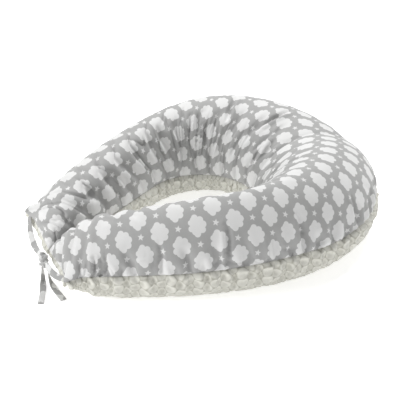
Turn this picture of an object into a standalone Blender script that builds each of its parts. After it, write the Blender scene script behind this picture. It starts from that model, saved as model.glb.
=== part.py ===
"""Nursing pillow in metres, +Z up, standing on its soft underside.

A C-shaped fibre pillow whose two arms are tied together at their ends. A zipped cover of two panels, cotton
print above and dimple plush below, holds an inner casing that is stuffed with fibre. The back of the pillow
is at +Y, the ends of its arms are at -Y, and the mirror plane is X = 0. The zip lies in the outer seam on
the -X side, and its slider travels round the centre of the back's arc.
"""

import math

import bmesh
import bpy
import numpy as np

# Plan of the pillow
LENGTH = 0.677  # from the ends of the arms to the back
BACK_RADIUS = 0.252  # outer edge of the back, which is half the overall width
BACK_DEPTH = 0.246  # from the back's outer edge to the waist opening
WAIST_RADIUS = 0.120  # round part of the waist opening
ARM_EDGE_RADIUS = 0.650  # outer edge of an arm, where it leaves the back
ARM_TURN = math.radians(25)  # how far an arm's outer edge turns inwards
WAIST_TURN = math.radians(27)  # how far the opening's edge turns inwards
WAIST_NECK_RADIUS = 0.200  # where the opening's edges run together
ARM_GAP = 0.004  # between the tied arms

# Heights above the surface that it lies on
BACK_HEIGHT = 0.158
ARM_HEIGHT = 0.190
END_HEIGHT = 0.117
OUTER_SEAM_HEIGHT = 0.072
OUTER_SEAM_END_HEIGHT = 0.063
WAIST_SEAM_HEIGHT = 0.056
WAIST_SEAM_END_HEIGHT = 0.047
END_ROUNDING = 0.24  # share of an arm over which it comes down to its end seam

# Section through the tube
SIDE_POWER = 1.16  # crowding of the section's sides
TOP_POWER = 0.95  # roundness of the top
UNDERSIDE_POWER = 0.65  # squareness of the underside
UNDERSIDE_FLAT = 1.10  # over 1, so that the underside's middle lies flat

# Layers, from outside to inside
COTTON = 0.0010
PLUSH = 0.0025
COVER_EASE = 0.0030  # loose fit of the cover over the casing
CASING = 0.0008
FILLING_EASE = 0.0007  # between the casing and the fibre
FILLING_EDGE = 0.00005  # half the thickness that the fibre runs out to at the seams
TOUCH = 0.0003  # gap between pieces that touch

# Zip
ZIP_LENGTH = 0.300
ZIP_MIDDLE = math.radians(48)  # from the middle of the back, towards -X
ZIP_SLOT = 0.0092  # between the two panels' edges
TAPE_THICKNESS = 0.0005
TAPE_WIDTH = 0.014
COIL_DIAMETER = 0.0014
COIL_SPLIT = 0.0012  # between the two coils, where the slider's divider runs
STOP_LENGTH = 0.0025
SLIDER_LENGTH = 0.0090
SLIDER_WIDTH = 0.0076
SLIDER_PLATE = 0.0010
SLIDER_FLANGE = 0.0008
SLIDER_SIDE_GAP = 0.0010  # between the slider's flanges, where the tapes run
BAIL_HEIGHT = 0.0030
BAIL_WIDTH = 0.0016
BAIL_THICKNESS = 0.0008
TAB_LENGTH = 0.022
TAB_WIDTH = 0.0070
TAB_THICKNESS = 0.0011
TAB_PIN = 0.0011
TAB_WINDOW = 0.0050  # from the pin's axis to the far side of the tab's eye

# Care label, blank, sewn into the outer seam of the -X arm
LABEL_STATION = 1.30
LABEL_WIDTH = 0.025
LABEL_DROP = math.radians(40)
LABEL_THICKNESS = 0.0006

# Ties
TIE_WIDTH = 0.012
TIE_THICKNESS = 0.0015
KNOT_SIZE = (0.026, 0.014, 0.022)
KNOT_PLACE = (0.022, -0.0175, 0.0480)  # y from the arms' ends
# Each point is a place on the tie's centreline, with y counted from the arms' ends, and how far the tie's
# width leans over from upright, in degrees
LEFT_TIE = [
    (-0.1190, -0.0009, 0.0620, 0),
    (-0.1080, -0.0060, 0.0560, 5),
    (-0.0850, -0.0125, 0.0470, 12),
    (-0.0600, -0.0165, 0.0405, 18),
    (-0.0340, -0.0185, 0.0395, 20),
    (-0.0100, -0.0185, 0.0430, 15),
    (0.0088, -0.0175, 0.0465, 10),
]
RIGHT_TIE = [
    (0.1190, -0.0009, 0.0620, 0),
    (0.1100, -0.0052, 0.0560, -10),
    (0.0900, -0.0115, 0.0490, -18),
    (0.0680, -0.0155, 0.0455, -18),
    (0.0500, -0.0175, 0.0460, -12),
    (0.0353, -0.0175, 0.0475, -8),
]
LEFT_TIE_TAIL = [
    (0.0195, -0.0207, 0.0368, 5),
    (0.0210, -0.0213, 0.0280, 10),
    (0.0260, -0.0231, 0.0175, 25),
    (0.0345, -0.0260, 0.0080, 50),
    (0.0450, -0.0297, 0.0030, 80),
    (0.0570, -0.0340, 0.0013, 90),
    (0.0740, -0.0410, 0.0013, 90),
    (0.0920, -0.0485, 0.0013, 90),
]
RIGHT_TIE_TAIL = [
    (0.0290, -0.0150, 0.0375, 5),
    (0.0305, -0.0149, 0.0285, 10),
    (0.0345, -0.0146, 0.0185, 20),
    (0.0425, -0.0140, 0.0090, 45),
    (0.0540, -0.0128, 0.0035, 75),
    (0.0670, -0.0115, 0.0013, 90),
    (0.0830, -0.0095, 0.0013, 90),
    (0.1000, -0.0075, 0.0013, 90),
]

# Fineness of the surfaces
BACK_STEPS = 15  # stations over a quarter turn of the back
ARM_STEPS = 8
END_STEPS = 5
PANEL_ROWS = 6  # rows from a seam to the middle of a panel
CASING_ROWS = 4
ROW_CROWDING = 1.5  # over 1, so that rows lie closer together by the seams

BACK_Y = LENGTH / 2
END_Y = -LENGTH / 2
BACK_CENTRE_Y = BACK_Y - BACK_RADIUS
WAIST_CENTRE_Y = BACK_Y - BACK_DEPTH - WAIST_RADIUS
CASING_DEPTH = PLUSH + COVER_EASE
FILLING_DEPTH = CASING_DEPTH + CASING + FILLING_EASE
ZIP_START = ZIP_MIDDLE - ZIP_LENGTH / BACK_RADIUS / 2
TAPE_DEPTH = PLUSH + TOUCH + 0.0004  # clear of the plush where its facets cut inside the true arc


def clear_scene():
    for obj in list(bpy.data.objects):
        bpy.data.objects.remove(obj, do_unlink=True)


def material(name, colour, roughness, metallic=0.0):
    mat = bpy.data.materials.new(name)
    mat.use_nodes = True
    shader = mat.node_tree.nodes["Principled BSDF"]
    shader.inputs["Base Color"].default_value = (*colour, 1.0)
    shader.inputs["Roughness"].default_value = roughness
    shader.inputs["Metallic"].default_value = metallic
    return mat


def face_outwards(bm):
    """Gives a closed mesh one sense of turning and makes its volume positive."""
    bmesh.ops.recalc_face_normals(bm, faces=bm.faces)
    if bm.calc_volume(signed=True) < 0:
        bmesh.ops.reverse_faces(bm, faces=bm.faces)


def new_object(name, vertices, faces, colour, roughness, metallic=0.0, smooth=True):
    """One object from points and faces, with its doubled points merged and its faces turned outwards."""
    mesh = bpy.data.meshes.new(name)
    mesh.from_pydata([tuple(map(float, v)) for v in vertices], [], faces)
    bm = bmesh.new()
    bm.from_mesh(mesh)
    bmesh.ops.remove_doubles(bm, verts=bm.verts, dist=1e-6)
    face_outwards(bm)
    bm.to_mesh(mesh)
    bm.free()
    if smooth:
        mesh.shade_smooth()
        mesh.set_sharp_from_angle(angle=math.radians(40))
    mesh.materials.append(material(name, colour, roughness, metallic))
    obj = bpy.data.objects.new(name, mesh)
    bpy.context.collection.objects.link(obj)
    return obj


def smooth_step(t):
    t = np.clip(t, 0.0, 1.0)
    return t * t * (3 - 2 * t)


def trace(start, heading, pieces, s):
    """Points and headings along a chain of arcs and lines.

    Each piece is its length and how far it turns clockwise; s holds distances along the whole chain.
    """
    points = np.zeros((len(s), 2))
    angles = np.zeros(len(s))
    x, y = start
    begun = 0.0
    for number, (length, turn) in enumerate(pieces):
        last = number == len(pieces) - 1
        here = (s >= begun - 1e-12) if last else (s >= begun - 1e-12) & (s < begun + length)
        ends = np.append(s[here] - begun, length)
        if abs(turn) < 1e-9:
            xs = x + ends * math.cos(heading)
            ys = y + ends * math.sin(heading)
            facing = np.full(len(ends), heading)
        else:
            radius = length / turn
            facing = heading - ends / radius
            xs = x + radius * (math.sin(heading) - np.sin(facing))
            ys = y - radius * (math.cos(heading) - np.cos(facing))
        points[here] = np.column_stack([xs, ys])[:-1]
        angles[here] = facing[:-1]
        x, y, heading = xs[-1], ys[-1], facing[-1]
        begun += length
    return points, angles


def half_outline(pieces, start, along):
    """The right half of an edge of the plan: along runs 0 to 1 over the first piece and 1 to 2 over the rest."""
    first = pieces[0][0]
    rest = sum(length for length, _ in pieces[1:])
    s = np.where(along <= 1, along * first, first + (along - 1) * rest)
    points, angles = trace(start, 0.0, pieces, s)
    left = np.column_stack([-np.sin(angles), np.cos(angles)])
    return points, left


def outer_edge(along, depth):
    """Outer edge of a layer that lies depth inside the cover's outside: back arc, arm arc, straight."""
    arm_y = BACK_CENTRE_Y - ARM_EDGE_RADIUS * math.sin(ARM_TURN)
    straight = (arm_y - (END_Y + depth)) / math.cos(ARM_TURN)
    pieces = [
        (BACK_RADIUS * math.pi / 2, math.pi / 2),
        (ARM_EDGE_RADIUS * ARM_TURN, ARM_TURN),
        (straight, 0.0),
    ]
    points, left = half_outline(pieces, (0.0, BACK_Y), along)
    return points - left * depth


def waist_edge(along, depth):
    """Edge of the waist opening: round back, straight flank, reversed arc, and the stretch where the arms meet."""
    flank_x = WAIST_RADIUS * math.cos(WAIST_TURN)
    flank_y = WAIST_CENTRE_Y - WAIST_RADIUS * math.sin(WAIST_TURN)
    tangent = WAIST_NECK_RADIUS * math.tan(WAIST_TURN / 2)
    corner_reach = (flank_x - ARM_GAP / 2) / math.sin(WAIST_TURN)
    corner_y = flank_y - corner_reach * math.cos(WAIST_TURN)
    pieces = [
        (WAIST_RADIUS * math.pi / 2, math.pi / 2),
        (WAIST_RADIUS * WAIST_TURN, WAIST_TURN),
        (corner_reach - tangent, 0.0),
        (WAIST_NECK_RADIUS * WAIST_TURN, -WAIST_TURN),
        (corner_y - tangent - (END_Y + depth), 0.0),
    ]
    points, left = half_outline(pieces, (0.0, BACK_Y - BACK_DEPTH), along)
    return points + left * depth


def stations():
    """Stations of the right half, 0 at the middle of the back and 2 at the end of the arm."""
    back = np.linspace(0, 1, BACK_STEPS + 1)
    arm = np.linspace(1, 2 - END_ROUNDING, ARM_STEPS + 1)[1:]
    end = 2 - END_ROUNDING * (1 - np.sin(np.linspace(0, math.pi / 2, END_STEPS + 1)[1:]))
    return np.concatenate([back, arm, end])


def top_height(along):
    """A parabola through the heights at the back, the arm and the end."""
    v = along / 2
    return (
        BACK_HEIGHT * (1 - v) * (1 - 2 * v)
        + 4 * ARM_HEIGHT * v * (1 - v)
        + END_HEIGHT * v * (2 * v - 1)
    )


def end_fall(along):
    """1 along the arm, falling like a quarter ellipse to 0 at its end seam."""
    q = np.clip((along - (2 - END_ROUNDING)) / END_ROUNDING, 0, 1)
    return np.sqrt(np.maximum(1 - q * q, 0))


def outer_seam_height(along):
    return OUTER_SEAM_HEIGHT + (OUTER_SEAM_END_HEIGHT - OUTER_SEAM_HEIGHT) * smooth_step(along - 1)


def waist_seam_height(along):
    return WAIST_SEAM_HEIGHT + (WAIST_SEAM_END_HEIGHT - WAIST_SEAM_HEIGHT) * smooth_step(along - 1)


def skin(upper, along, phi, depth, lift):
    """Points of a layer of the top (upper) or the underside, on the right half.

    along picks the station; phi is 0 at the outer seam, a quarter turn at the middle of the panel and half
    a turn at the waist seam; lift is how far the panel's edge stands off the seam, up on top and down below.
    along, phi and lift are arrays that broadcast together.
    """
    along, phi, lift = np.broadcast_arrays(along, phi, lift)
    flat = along.ravel()
    outer = outer_edge(flat, depth).reshape(*along.shape, 2)
    waist = waist_edge(flat, depth).reshape(*along.shape, 2)
    side = np.sign(np.cos(phi)) * np.abs(np.cos(phi)) ** SIDE_POWER
    mix = ((1 + side) / 2)[..., None]
    plan = outer * mix + waist * (1 - mix)
    seam = outer_seam_height(along) * mix[..., 0] + waist_seam_height(along) * (1 - mix[..., 0])
    rise = np.abs(np.sin(phi))
    if upper:
        swell = rise**TOP_POWER * end_fall(along)
        height = seam + lift + (top_height(along) - depth - seam - lift) * swell
    else:
        press = np.minimum(UNDERSIDE_FLAT * rise**UNDERSIDE_POWER * end_fall(along), 1)
        height = seam - lift - (seam - lift - depth) * press
    return np.concatenate([plan, height[..., None]], axis=-1)


def zip_share():
    """Start and end of the zip as stations along the back's quarter turn."""
    start = ZIP_START / (math.pi / 2)
    return start, start + ZIP_LENGTH / (BACK_RADIUS * math.pi / 2)


def edge_lift(along):
    """How far a panel's edge stands off the seam on the zip's side: half the slot along the zip."""
    start, end = zip_share()
    ramp = 1.2 / BACK_STEPS
    inside = smooth_step((along - start) / ramp + 1) * smooth_step((end - along) / ramp + 1)
    return TOUCH / 2 + (ZIP_SLOT - TOUCH) / 2 * inside


def grid_faces(rows, columns, first=0, flipped=False):
    """Triangles of a grid whose points are numbered row by row from first.

    Every cell is cut along the same diagonal, so that layers a fraction of a millimetre apart don't cross.
    """
    index = first + np.arange(rows * columns).reshape(rows, columns)
    a, b, c, d = index[:-1, :-1], index[1:, :-1], index[1:, 1:], index[:-1, 1:]
    halves = np.stack([np.stack([a, b, c], axis=-1), np.stack([a, c, d], axis=-1)])
    triangles = halves.reshape(-1, 3)
    return (triangles[:, ::-1] if flipped else triangles).tolist()


def rim_loop(rows, columns):
    """Indices round the border of such a grid."""
    index = np.arange(rows * columns).reshape(rows, columns)
    return np.concatenate([index[0, :-1], index[:-1, -1], index[-1, :0:-1], index[:0:-1, 0]]).tolist()


def shell(name, outside, inside, colour, roughness):
    """A closed thin shell between two grids of the same size."""
    rows, columns = outside.shape[:2]
    count = rows * columns
    loop = rim_loop(rows, columns)
    rim = [(b, a, a + count, b + count) for a, b in zip(loop, loop[1:] + loop[:1])]
    faces = grid_faces(rows, columns) + grid_faces(rows, columns, count, flipped=True) + rim
    points = np.concatenate([outside.reshape(-1, 3), inside.reshape(-1, 3)])
    return new_object(name, points, faces, colour, roughness)


def row_angles(rows):
    """Places round the tube, from the outer seam to the waist seam, crowded towards both."""
    half = math.pi / 2 * (np.arange(rows + 1) / rows) ** ROW_CROWDING
    return np.concatenate([half, math.pi - half[-2::-1]])


def zip_lift(along, phi):
    """Lift of a zipped panel's rows: half the zip's slot at the outer seam, fading out by the middle."""
    near_edge = np.clip(np.cos(phi), 0, 1) ** 2
    return TOUCH / 2 + (edge_lift(along) - TOUCH / 2) * near_edge


def panel_layer(upper, depth, rows, zipped=False, lift=TOUCH / 2):
    """One face of a panel: all of the top, or all of the underside, at a depth below the cover's outside."""
    along = stations()[:, None]
    phi = row_angles(rows)[None, :]
    right = skin(upper, along, phi, depth, lift)
    left = skin(upper, along, phi, depth, zip_lift(along, phi)) if zipped else right
    left = left[::-1] * (-1.0, 1.0, 1.0)
    return np.concatenate([left[:-1], right], axis=0)


def cover():
    shell(
        "cover_top_panel",
        panel_layer(True, 0.0, PANEL_ROWS, zipped=True),
        panel_layer(True, COTTON, PANEL_ROWS, zipped=True),
        (0.39, 0.39, 0.38),
        0.9,
    )
    shell(
        "cover_bottom_panel",
        panel_layer(False, 0.0, PANEL_ROWS, zipped=True),
        panel_layer(False, PLUSH, PANEL_ROWS, zipped=True),
        (0.53, 0.53, 0.48),
        0.95,
    )


def casing():
    for name, upper in (("inner_casing_top", True), ("inner_casing_bottom", False)):
        shell(
            name,
            panel_layer(upper, CASING_DEPTH, CASING_ROWS),
            panel_layer(upper, CASING_DEPTH + CASING, CASING_ROWS),
            (0.80, 0.80, 0.78),
            0.9,
        )


def filling():
    """The fibre as one closed body, with an edge as thin as the casing's seam."""
    top = panel_layer(True, FILLING_DEPTH, CASING_ROWS, lift=FILLING_EDGE)
    bottom = panel_layer(False, FILLING_DEPTH, CASING_ROWS, lift=FILLING_EDGE)
    shell("fibre_filling", top, bottom, (0.90, 0.90, 0.90), 1.0)


def on_arc(angle, depth, rise):
    """A place by the outer seam on the -X side: angle from the middle of the back, depth inside the cover."""
    reach = BACK_RADIUS - depth
    return (-reach * math.sin(angle), BACK_CENTRE_Y + reach * math.cos(angle), OUTER_SEAM_HEIGHT + rise)


def tape_layer(upper, along, depth):
    """One face of a tape: upright by the coil, then behind the panel along the panel's first row."""
    phi = row_angles(PANEL_ROWS)[None, :2]
    rim, first = np.moveaxis(skin(upper, along, phi, depth, zip_lift(along, phi)), 1, 0)
    way = (first - rim) / np.linalg.norm(first - rim, axis=-1, keepdims=True)
    inner = rim.copy()
    inner[:, 2] = OUTER_SEAM_HEIGHT + (COIL_SPLIT / 2 + TOUCH) * (1 if upper else -1)
    outer = rim + way * (TAPE_WIDTH - ZIP_SLOT / 2)
    return np.stack([inner, rim, outer], axis=1) * (-1.0, 1.0, 1.0)


def zip_tapes():
    along = np.linspace(*zip_share(), 2 * BACK_STEPS + 1)[:, None]
    for name, upper in (("zip_tape_upper", True), ("zip_tape_lower", False)):
        outside = tape_layer(upper, along, TAPE_DEPTH)
        inside = tape_layer(upper, along, TAPE_DEPTH + TAPE_THICKNESS)
        shell(name, outside, inside, (0.72, 0.72, 0.70), 0.8)


def tube(name, points, diameter, colour, roughness, metallic=0.0):
    """A round tube with filled ends along a chain of points."""
    curve = bpy.data.curves.new(name, "CURVE")
    curve.dimensions = "3D"
    curve.bevel_depth = diameter / 2
    curve.bevel_resolution = 2
    curve.use_fill_caps = True
    spline = curve.splines.new("POLY")
    spline.points.add(len(points) - 1)
    for knot, place in zip(spline.points, points):
        knot.co = (*place, 1.0)
    curve.materials.append(material(name, colour, roughness, metallic))
    obj = bpy.data.objects.new(name, curve)
    bpy.context.collection.objects.link(obj)


def coil_depth():
    return TAPE_DEPTH - TOUCH - COIL_DIAMETER / 2


def zip_coils():
    start = ZIP_START + STOP_LENGTH / BACK_RADIUS
    end = ZIP_START + (ZIP_LENGTH - STOP_LENGTH) / BACK_RADIUS
    angles = np.linspace(start, end, 2 * BACK_STEPS + 1)
    offset = COIL_SPLIT / 2 + COIL_DIAMETER / 2
    for name, rise in (("zip_coil_upper", offset), ("zip_coil_lower", -offset)):
        points = [on_arc(a, coil_depth(), rise) for a in angles]
        tube(name, points, COIL_DIAMETER, (0.75, 0.75, 0.73), 0.45)


def box_in(bm, along, depth, rise):
    """Adds a box to bm: its spans are along the zip, inwards from the cover's outside, and up."""
    made = bmesh.ops.create_cube(bm, size=1.0)["verts"]
    spans = (along, depth, rise)
    for vertex in made:
        vertex.co = [
            (low + high) / 2 + part * (high - low) for (low, high), part in zip(spans, vertex.co)
        ]


def seat_on_arc(obj, angle):
    """Turns an object from local axes (along the zip, inwards, up) to its place on the seam's arc.

    The object keeps its origin on the axis that the slider travels round.
    """
    obj.location = (0.0, BACK_CENTRE_Y, OUTER_SEAM_HEIGHT)
    obj.rotation_euler = (0.0, 0.0, angle)


def local_to_arc(bm):
    """Moves a mesh made at the seam so that its local origin is the centre of the arc."""
    for vertex in bm.verts:
        x, y, z = vertex.co
        vertex.co = (-x, BACK_RADIUS - y, z)


def finished(name, bm, angle, colour, roughness, metallic, bevel):
    """A small hard piece: its mesh, its place on the arc and a light bevel."""
    local_to_arc(bm)
    face_outwards(bm)
    mesh = bpy.data.meshes.new(name)
    bm.to_mesh(mesh)
    bm.free()
    mesh.materials.append(material(name, colour, roughness, metallic))
    obj = bpy.data.objects.new(name, mesh)
    bpy.context.collection.objects.link(obj)
    seat_on_arc(obj, angle)
    if bevel:
        edge = obj.modifiers.new("edges", "BEVEL")
        edge.width = bevel
        edge.segments = 1
        edge.limit_method = "ANGLE"
    return obj


def zip_stops():
    half = COIL_SPLIT / 2 + COIL_DIAMETER
    for name, place in (
        ("zip_top_stop", STOP_LENGTH / 2 - TOUCH),
        ("zip_bottom_stop", ZIP_LENGTH - STOP_LENGTH / 2 + TOUCH),
    ):
        bm = bmesh.new()
        reach = (STOP_LENGTH - 2 * TOUCH) / 2
        middle = coil_depth()
        thick = COIL_DIAMETER / 2
        box_in(bm, (-reach, reach), (middle - thick, middle + thick), (-half, half))
        angle = ZIP_START + place / BACK_RADIUS
        finished(name, bm, angle, (0.62, 0.62, 0.62), 0.35, 1.0, 0.0002)


def slider_angle():
    """Where the closed zip's slider rests, just past the top stop."""
    return ZIP_START + (STOP_LENGTH + SLIDER_LENGTH / 2 + 2 * TOUCH) / BACK_RADIUS


def slider_levels():
    """Depths of the slider's front plate (outside and inside face) and back plate (outside and inside face)."""
    front_inner = coil_depth() - COIL_DIAMETER / 2 - TOUCH
    back_outer = TAPE_DEPTH + TAPE_THICKNESS + TOUCH
    return front_inner - SLIDER_PLATE, front_inner, back_outer, back_outer + SLIDER_PLATE


def zip_slider():
    front_out, front_in, back_out, back_in = slider_levels()
    half_length = SLIDER_LENGTH / 2
    half_width = SLIDER_WIDTH / 2
    tape_middle = TAPE_DEPTH + TAPE_THICKNESS / 2
    side_gap = (tape_middle - SLIDER_SIDE_GAP / 2, tape_middle + SLIDER_SIDE_GAP / 2)
    overlap = 0.0002
    bail_post = 0.0030
    divider = (-half_length + 0.0004, -half_length + 0.0024)
    divider_half = COIL_SPLIT / 2 - TOUCH / 2
    boxes = [
        ((-half_length, half_length), (front_out, front_in), (-half_width, half_width)),
        ((-half_length, half_length), (back_out, back_in), (-half_width, half_width)),
        (divider, (front_in - overlap, back_out + overlap), (-divider_half, divider_half)),
    ]
    for side in (-1, 1):
        flange = sorted((side * half_width, side * (half_width - SLIDER_FLANGE)))
        boxes.append(((-half_length, half_length), (front_in - overlap, side_gap[0]), flange))
        boxes.append(((-half_length, half_length), (side_gap[1], back_out + overlap), flange))
        post = sorted((side * bail_post, side * (bail_post + BAIL_THICKNESS)))
        lug = (front_out - BAIL_HEIGHT, front_out + overlap)
        boxes.append((post, lug, (-BAIL_WIDTH / 2, BAIL_WIDTH / 2)))
    bar_end = bail_post + BAIL_THICKNESS
    bar = (front_out - BAIL_HEIGHT, front_out - BAIL_HEIGHT + BAIL_THICKNESS)
    boxes.append(((-bar_end, bar_end), bar, (-BAIL_WIDTH / 2, BAIL_WIDTH / 2)))
    whole = None
    for number, spans in enumerate(boxes):
        bm = bmesh.new()
        box_in(bm, *spans)
        name = "zip_slider" if number == 0 else f"slider_block_{number}"
        piece = finished(name, bm, slider_angle(), (0.66, 0.66, 0.66), 0.3, 1.0, 0)
        if number == 0:
            whole = piece
            continue
        piece.hide_render = True
        piece.display_type = "WIRE"
        join = whole.modifiers.new(f"join_{number}", "BOOLEAN")
        join.operation = "UNION"
        join.solver = "EXACT"
        join.object = piece


def pin_depth():
    """Depth of the tab's hinge pin: in the middle of the bail's window."""
    front_out = slider_levels()[0]
    return front_out - (BAIL_HEIGHT - BAIL_THICKNESS) / 2


def zip_pull_tab():
    """A flat plate with an eye: its pin runs under the slider's bail, and its origin is on the pin's axis."""
    half_width = TAB_WIDTH / 2
    arm_inner = BAIL_WIDTH / 2 + 2 * TOUCH
    arm_outer = arm_inner + TAB_PIN
    half = TAB_PIN / 2
    outline = [
        (-half, -arm_outer),
        (TAB_WINDOW, -half_width),
        (TAB_LENGTH, -half_width),
        (TAB_LENGTH, half_width),
        (TAB_WINDOW, half_width),
        (-half, arm_outer),
    ]
    eye = [(half, -arm_inner), (TAB_WINDOW - half, -arm_inner), (TAB_WINDOW - half, arm_inner), (half, arm_inner)]
    bm = bmesh.new()
    rings = []
    for level in (-TAB_THICKNESS / 2, TAB_THICKNESS / 2):
        rings.append([[bm.verts.new((-x, level, z)) for x, z in points] for points in (outline, eye)])
    for low, high in zip(rings[0], rings[1]):
        for i in range(len(low)):
            j = (i + 1) % len(low)
            bm.faces.new((low[i], low[j], high[j], high[i]))
    for outer, inner in rings:
        # the outline has six corners and the eye four, so the end's and sides' faces are listed by corner
        bm.faces.new((outer[0], outer[1], inner[1], inner[0]))
        bm.faces.new((outer[1], outer[2], outer[3], outer[4], inner[2], inner[1]))
        bm.faces.new((outer[4], outer[5], inner[3], inner[2]))
        bm.faces.new((outer[5], outer[0], inner[0], inner[3]))
    face_outwards(bm)
    mesh = bpy.data.meshes.new("zip_pull_tab")
    bm.to_mesh(mesh)
    bm.free()
    mesh.materials.append(material("zip_pull_tab", (0.66, 0.66, 0.66), 0.3, 1.0))
    obj = bpy.data.objects.new("zip_pull_tab", mesh)
    bpy.context.collection.objects.link(obj)
    angle = slider_angle()
    obj.location = on_arc(angle, pin_depth(), 0.0)
    obj.rotation_euler = (0.0, 0.0, angle)


def care_label():
    """A blank label that is sewn into the outer seam and lies on the underside."""
    length = (ARM_EDGE_RADIUS * ARM_TURN) * 1.6
    half = LABEL_WIDTH / length / 2
    along = np.linspace(LABEL_STATION - half, LABEL_STATION + half, 5)[:, None]
    phi = np.linspace(math.radians(2), LABEL_DROP, 7)[None, :]
    outside, inside = (
        skin(False, along, phi, depth, 0.0) * (-1.0, 1.0, 1.0) for depth in (-TOUCH - LABEL_THICKNESS, -TOUCH)
    )
    shell("care_label", outside, inside, (0.85, 0.85, 0.85), 0.7)


def through(points, steps):
    """A smooth curve through hand-set points (Catmull-Rom), with steps stretches between each two."""
    p = np.array(points, float)
    p = np.vstack([2 * p[0] - p[1], p, 2 * p[-1] - p[-2]])
    t = (np.arange(steps) / steps)[:, None]
    runs = []
    for a, b, c, d in zip(p[:-3], p[1:-2], p[2:-1], p[3:]):
        runs.append(
            b + t * (c - a) / 2 + t**2 * (a - 2.5 * b + 2 * c - d / 2) + t**3 * (1.5 * (b - c) + (d - a) / 2)
        )
    return np.vstack([*runs, p[-2:-1]])


def ribbon(name, route):
    """A flat tie: a thin rectangle carried along the route, leaning as the route says."""
    path = through(route, 3) + (0.0, END_Y, 0.0, 0.0)
    places = path[:, :3]
    lean = np.radians(path[:, 3])
    ahead = np.gradient(places, axis=0)
    ahead /= np.linalg.norm(ahead, axis=1, keepdims=True)
    side = np.cross(ahead, (0.0, 0.0, 1.0))
    side[np.abs(ahead[:, 2]) > 0.98] = (1.0, 0.0, 0.0)
    side /= np.linalg.norm(side, axis=1, keepdims=True)
    upright = np.cross(side, ahead)
    width = upright * np.cos(lean)[:, None] + side * np.sin(lean)[:, None]
    through_face = np.cross(ahead, width)
    corners = [(-1, -1), (1, -1), (1, 1), (-1, 1)]
    rings = np.stack(
        [places + width * a * TIE_WIDTH / 2 + through_face * b * TIE_THICKNESS / 2 for a, b in corners],
        axis=1,
    )
    count = len(rings)
    faces = []
    for i in range(count - 1):
        for j in range(4):
            k = (j + 1) % 4
            faces.append((4 * i + j, 4 * i + k, 4 * i + 4 + k, 4 * i + 4 + j))
    faces += [(3, 2, 1, 0), tuple(4 * (count - 1) + j for j in range(4))]
    new_object(name, rings.reshape(-1, 3), faces, (0.45, 0.45, 0.44), 0.9)


def ties():
    ribbon("left_tie", LEFT_TIE)
    ribbon("right_tie", RIGHT_TIE)
    ribbon("left_tie_tail", LEFT_TIE_TAIL)
    ribbon("right_tie_tail", RIGHT_TIE_TAIL)
    bm = bmesh.new()
    bmesh.ops.create_uvsphere(bm, u_segments=12, v_segments=8, radius=0.5)
    x, y, z = KNOT_PLACE
    for vertex in bm.verts:
        vertex.co = [c + s * v for c, s, v in zip((x, y + END_Y, z), KNOT_SIZE, vertex.co)]
    mesh = bpy.data.meshes.new("tie_knot")
    bm.to_mesh(mesh)
    bm.free()
    mesh.shade_smooth()
    mesh.materials.append(material("tie_knot", (0.45, 0.45, 0.44), 0.9))
    bpy.context.collection.objects.link(bpy.data.objects.new("tie_knot", mesh))


clear_scene()
cover()
casing()
filling()
zip_tapes()
zip_coils()
zip_stops()
zip_slider()
zip_pull_tab()
care_label()
ties()
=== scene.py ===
# %% [markdown]
# # A nursing pillow, piece by piece
# The real thing is a stuffed ring with an opening for the waist. Its top is a printed cotton, its underside a plush
# with raised dots, and both are sewn together in one seam that runs all the way round. A zip lies in the outer seam at
# the back, and two flat ties close the arms. This lesson starts from the solid model, which gives every size and place,
# and puts the cloth, the print and the sewing on it.

# %% Load the solid model
import math

import bmesh
import bpy
import numpy as np
from mathutils import Matrix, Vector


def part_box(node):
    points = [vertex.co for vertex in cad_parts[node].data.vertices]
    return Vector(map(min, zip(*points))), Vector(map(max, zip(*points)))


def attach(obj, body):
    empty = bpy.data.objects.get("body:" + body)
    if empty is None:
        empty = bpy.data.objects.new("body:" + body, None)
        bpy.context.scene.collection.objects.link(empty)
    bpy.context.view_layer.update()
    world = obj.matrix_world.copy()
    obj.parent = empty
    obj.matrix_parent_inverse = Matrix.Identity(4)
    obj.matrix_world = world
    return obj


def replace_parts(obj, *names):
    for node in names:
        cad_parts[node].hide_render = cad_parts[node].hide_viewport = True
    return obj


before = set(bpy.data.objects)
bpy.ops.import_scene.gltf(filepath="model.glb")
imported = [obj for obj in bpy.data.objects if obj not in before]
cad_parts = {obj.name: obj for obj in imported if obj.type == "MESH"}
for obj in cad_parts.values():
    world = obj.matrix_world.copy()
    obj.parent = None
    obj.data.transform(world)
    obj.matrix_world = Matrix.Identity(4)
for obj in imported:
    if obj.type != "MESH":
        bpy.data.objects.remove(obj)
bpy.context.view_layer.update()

# %% [markdown]
# ## The camera
# A camera is placed by where it stands and which way it looks. Azimuth is how far it has walked round the pillow,
# elevation how high it stands above the horizon, and roll how far it leans to one side. The long lens keeps the two
# arms nearly the same size, and nothing is out of focus.

# %% Place the camera
CAMERA_PLACE = (1.3977, -0.6554, 1.0461)
CAMERA_AZIMUTH, CAMERA_ELEVATION, CAMERA_ROLL = 65.72, 32.49, -1.10
CAMERA_LENS = 82.35


def place_camera():
    """Right, up and back axes from the three angles, as the columns of the camera's rotation."""
    a, e, r = (math.radians(v) for v in (CAMERA_AZIMUTH, CAMERA_ELEVATION, CAMERA_ROLL))
    back = np.array([math.sin(a) * math.cos(e), -math.cos(a) * math.cos(e), math.sin(e)])
    level = np.array([math.cos(a), math.sin(a), 0.0])
    above = np.cross(back, level)
    right = math.cos(r) * level + math.sin(r) * above
    up = math.cos(r) * above - math.sin(r) * level
    camera = bpy.data.objects.new("camera", bpy.data.cameras.new("camera"))
    bpy.context.collection.objects.link(camera)
    turn = np.eye(4)
    turn[:3, 0], turn[:3, 1], turn[:3, 2], turn[:3, 3] = right, up, back, CAMERA_PLACE
    camera.matrix_world = Matrix(turn.tolist())
    camera.data.lens, camera.data.sensor_width = CAMERA_LENS, 36.0
    bpy.context.scene.camera = camera
    return camera


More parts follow.
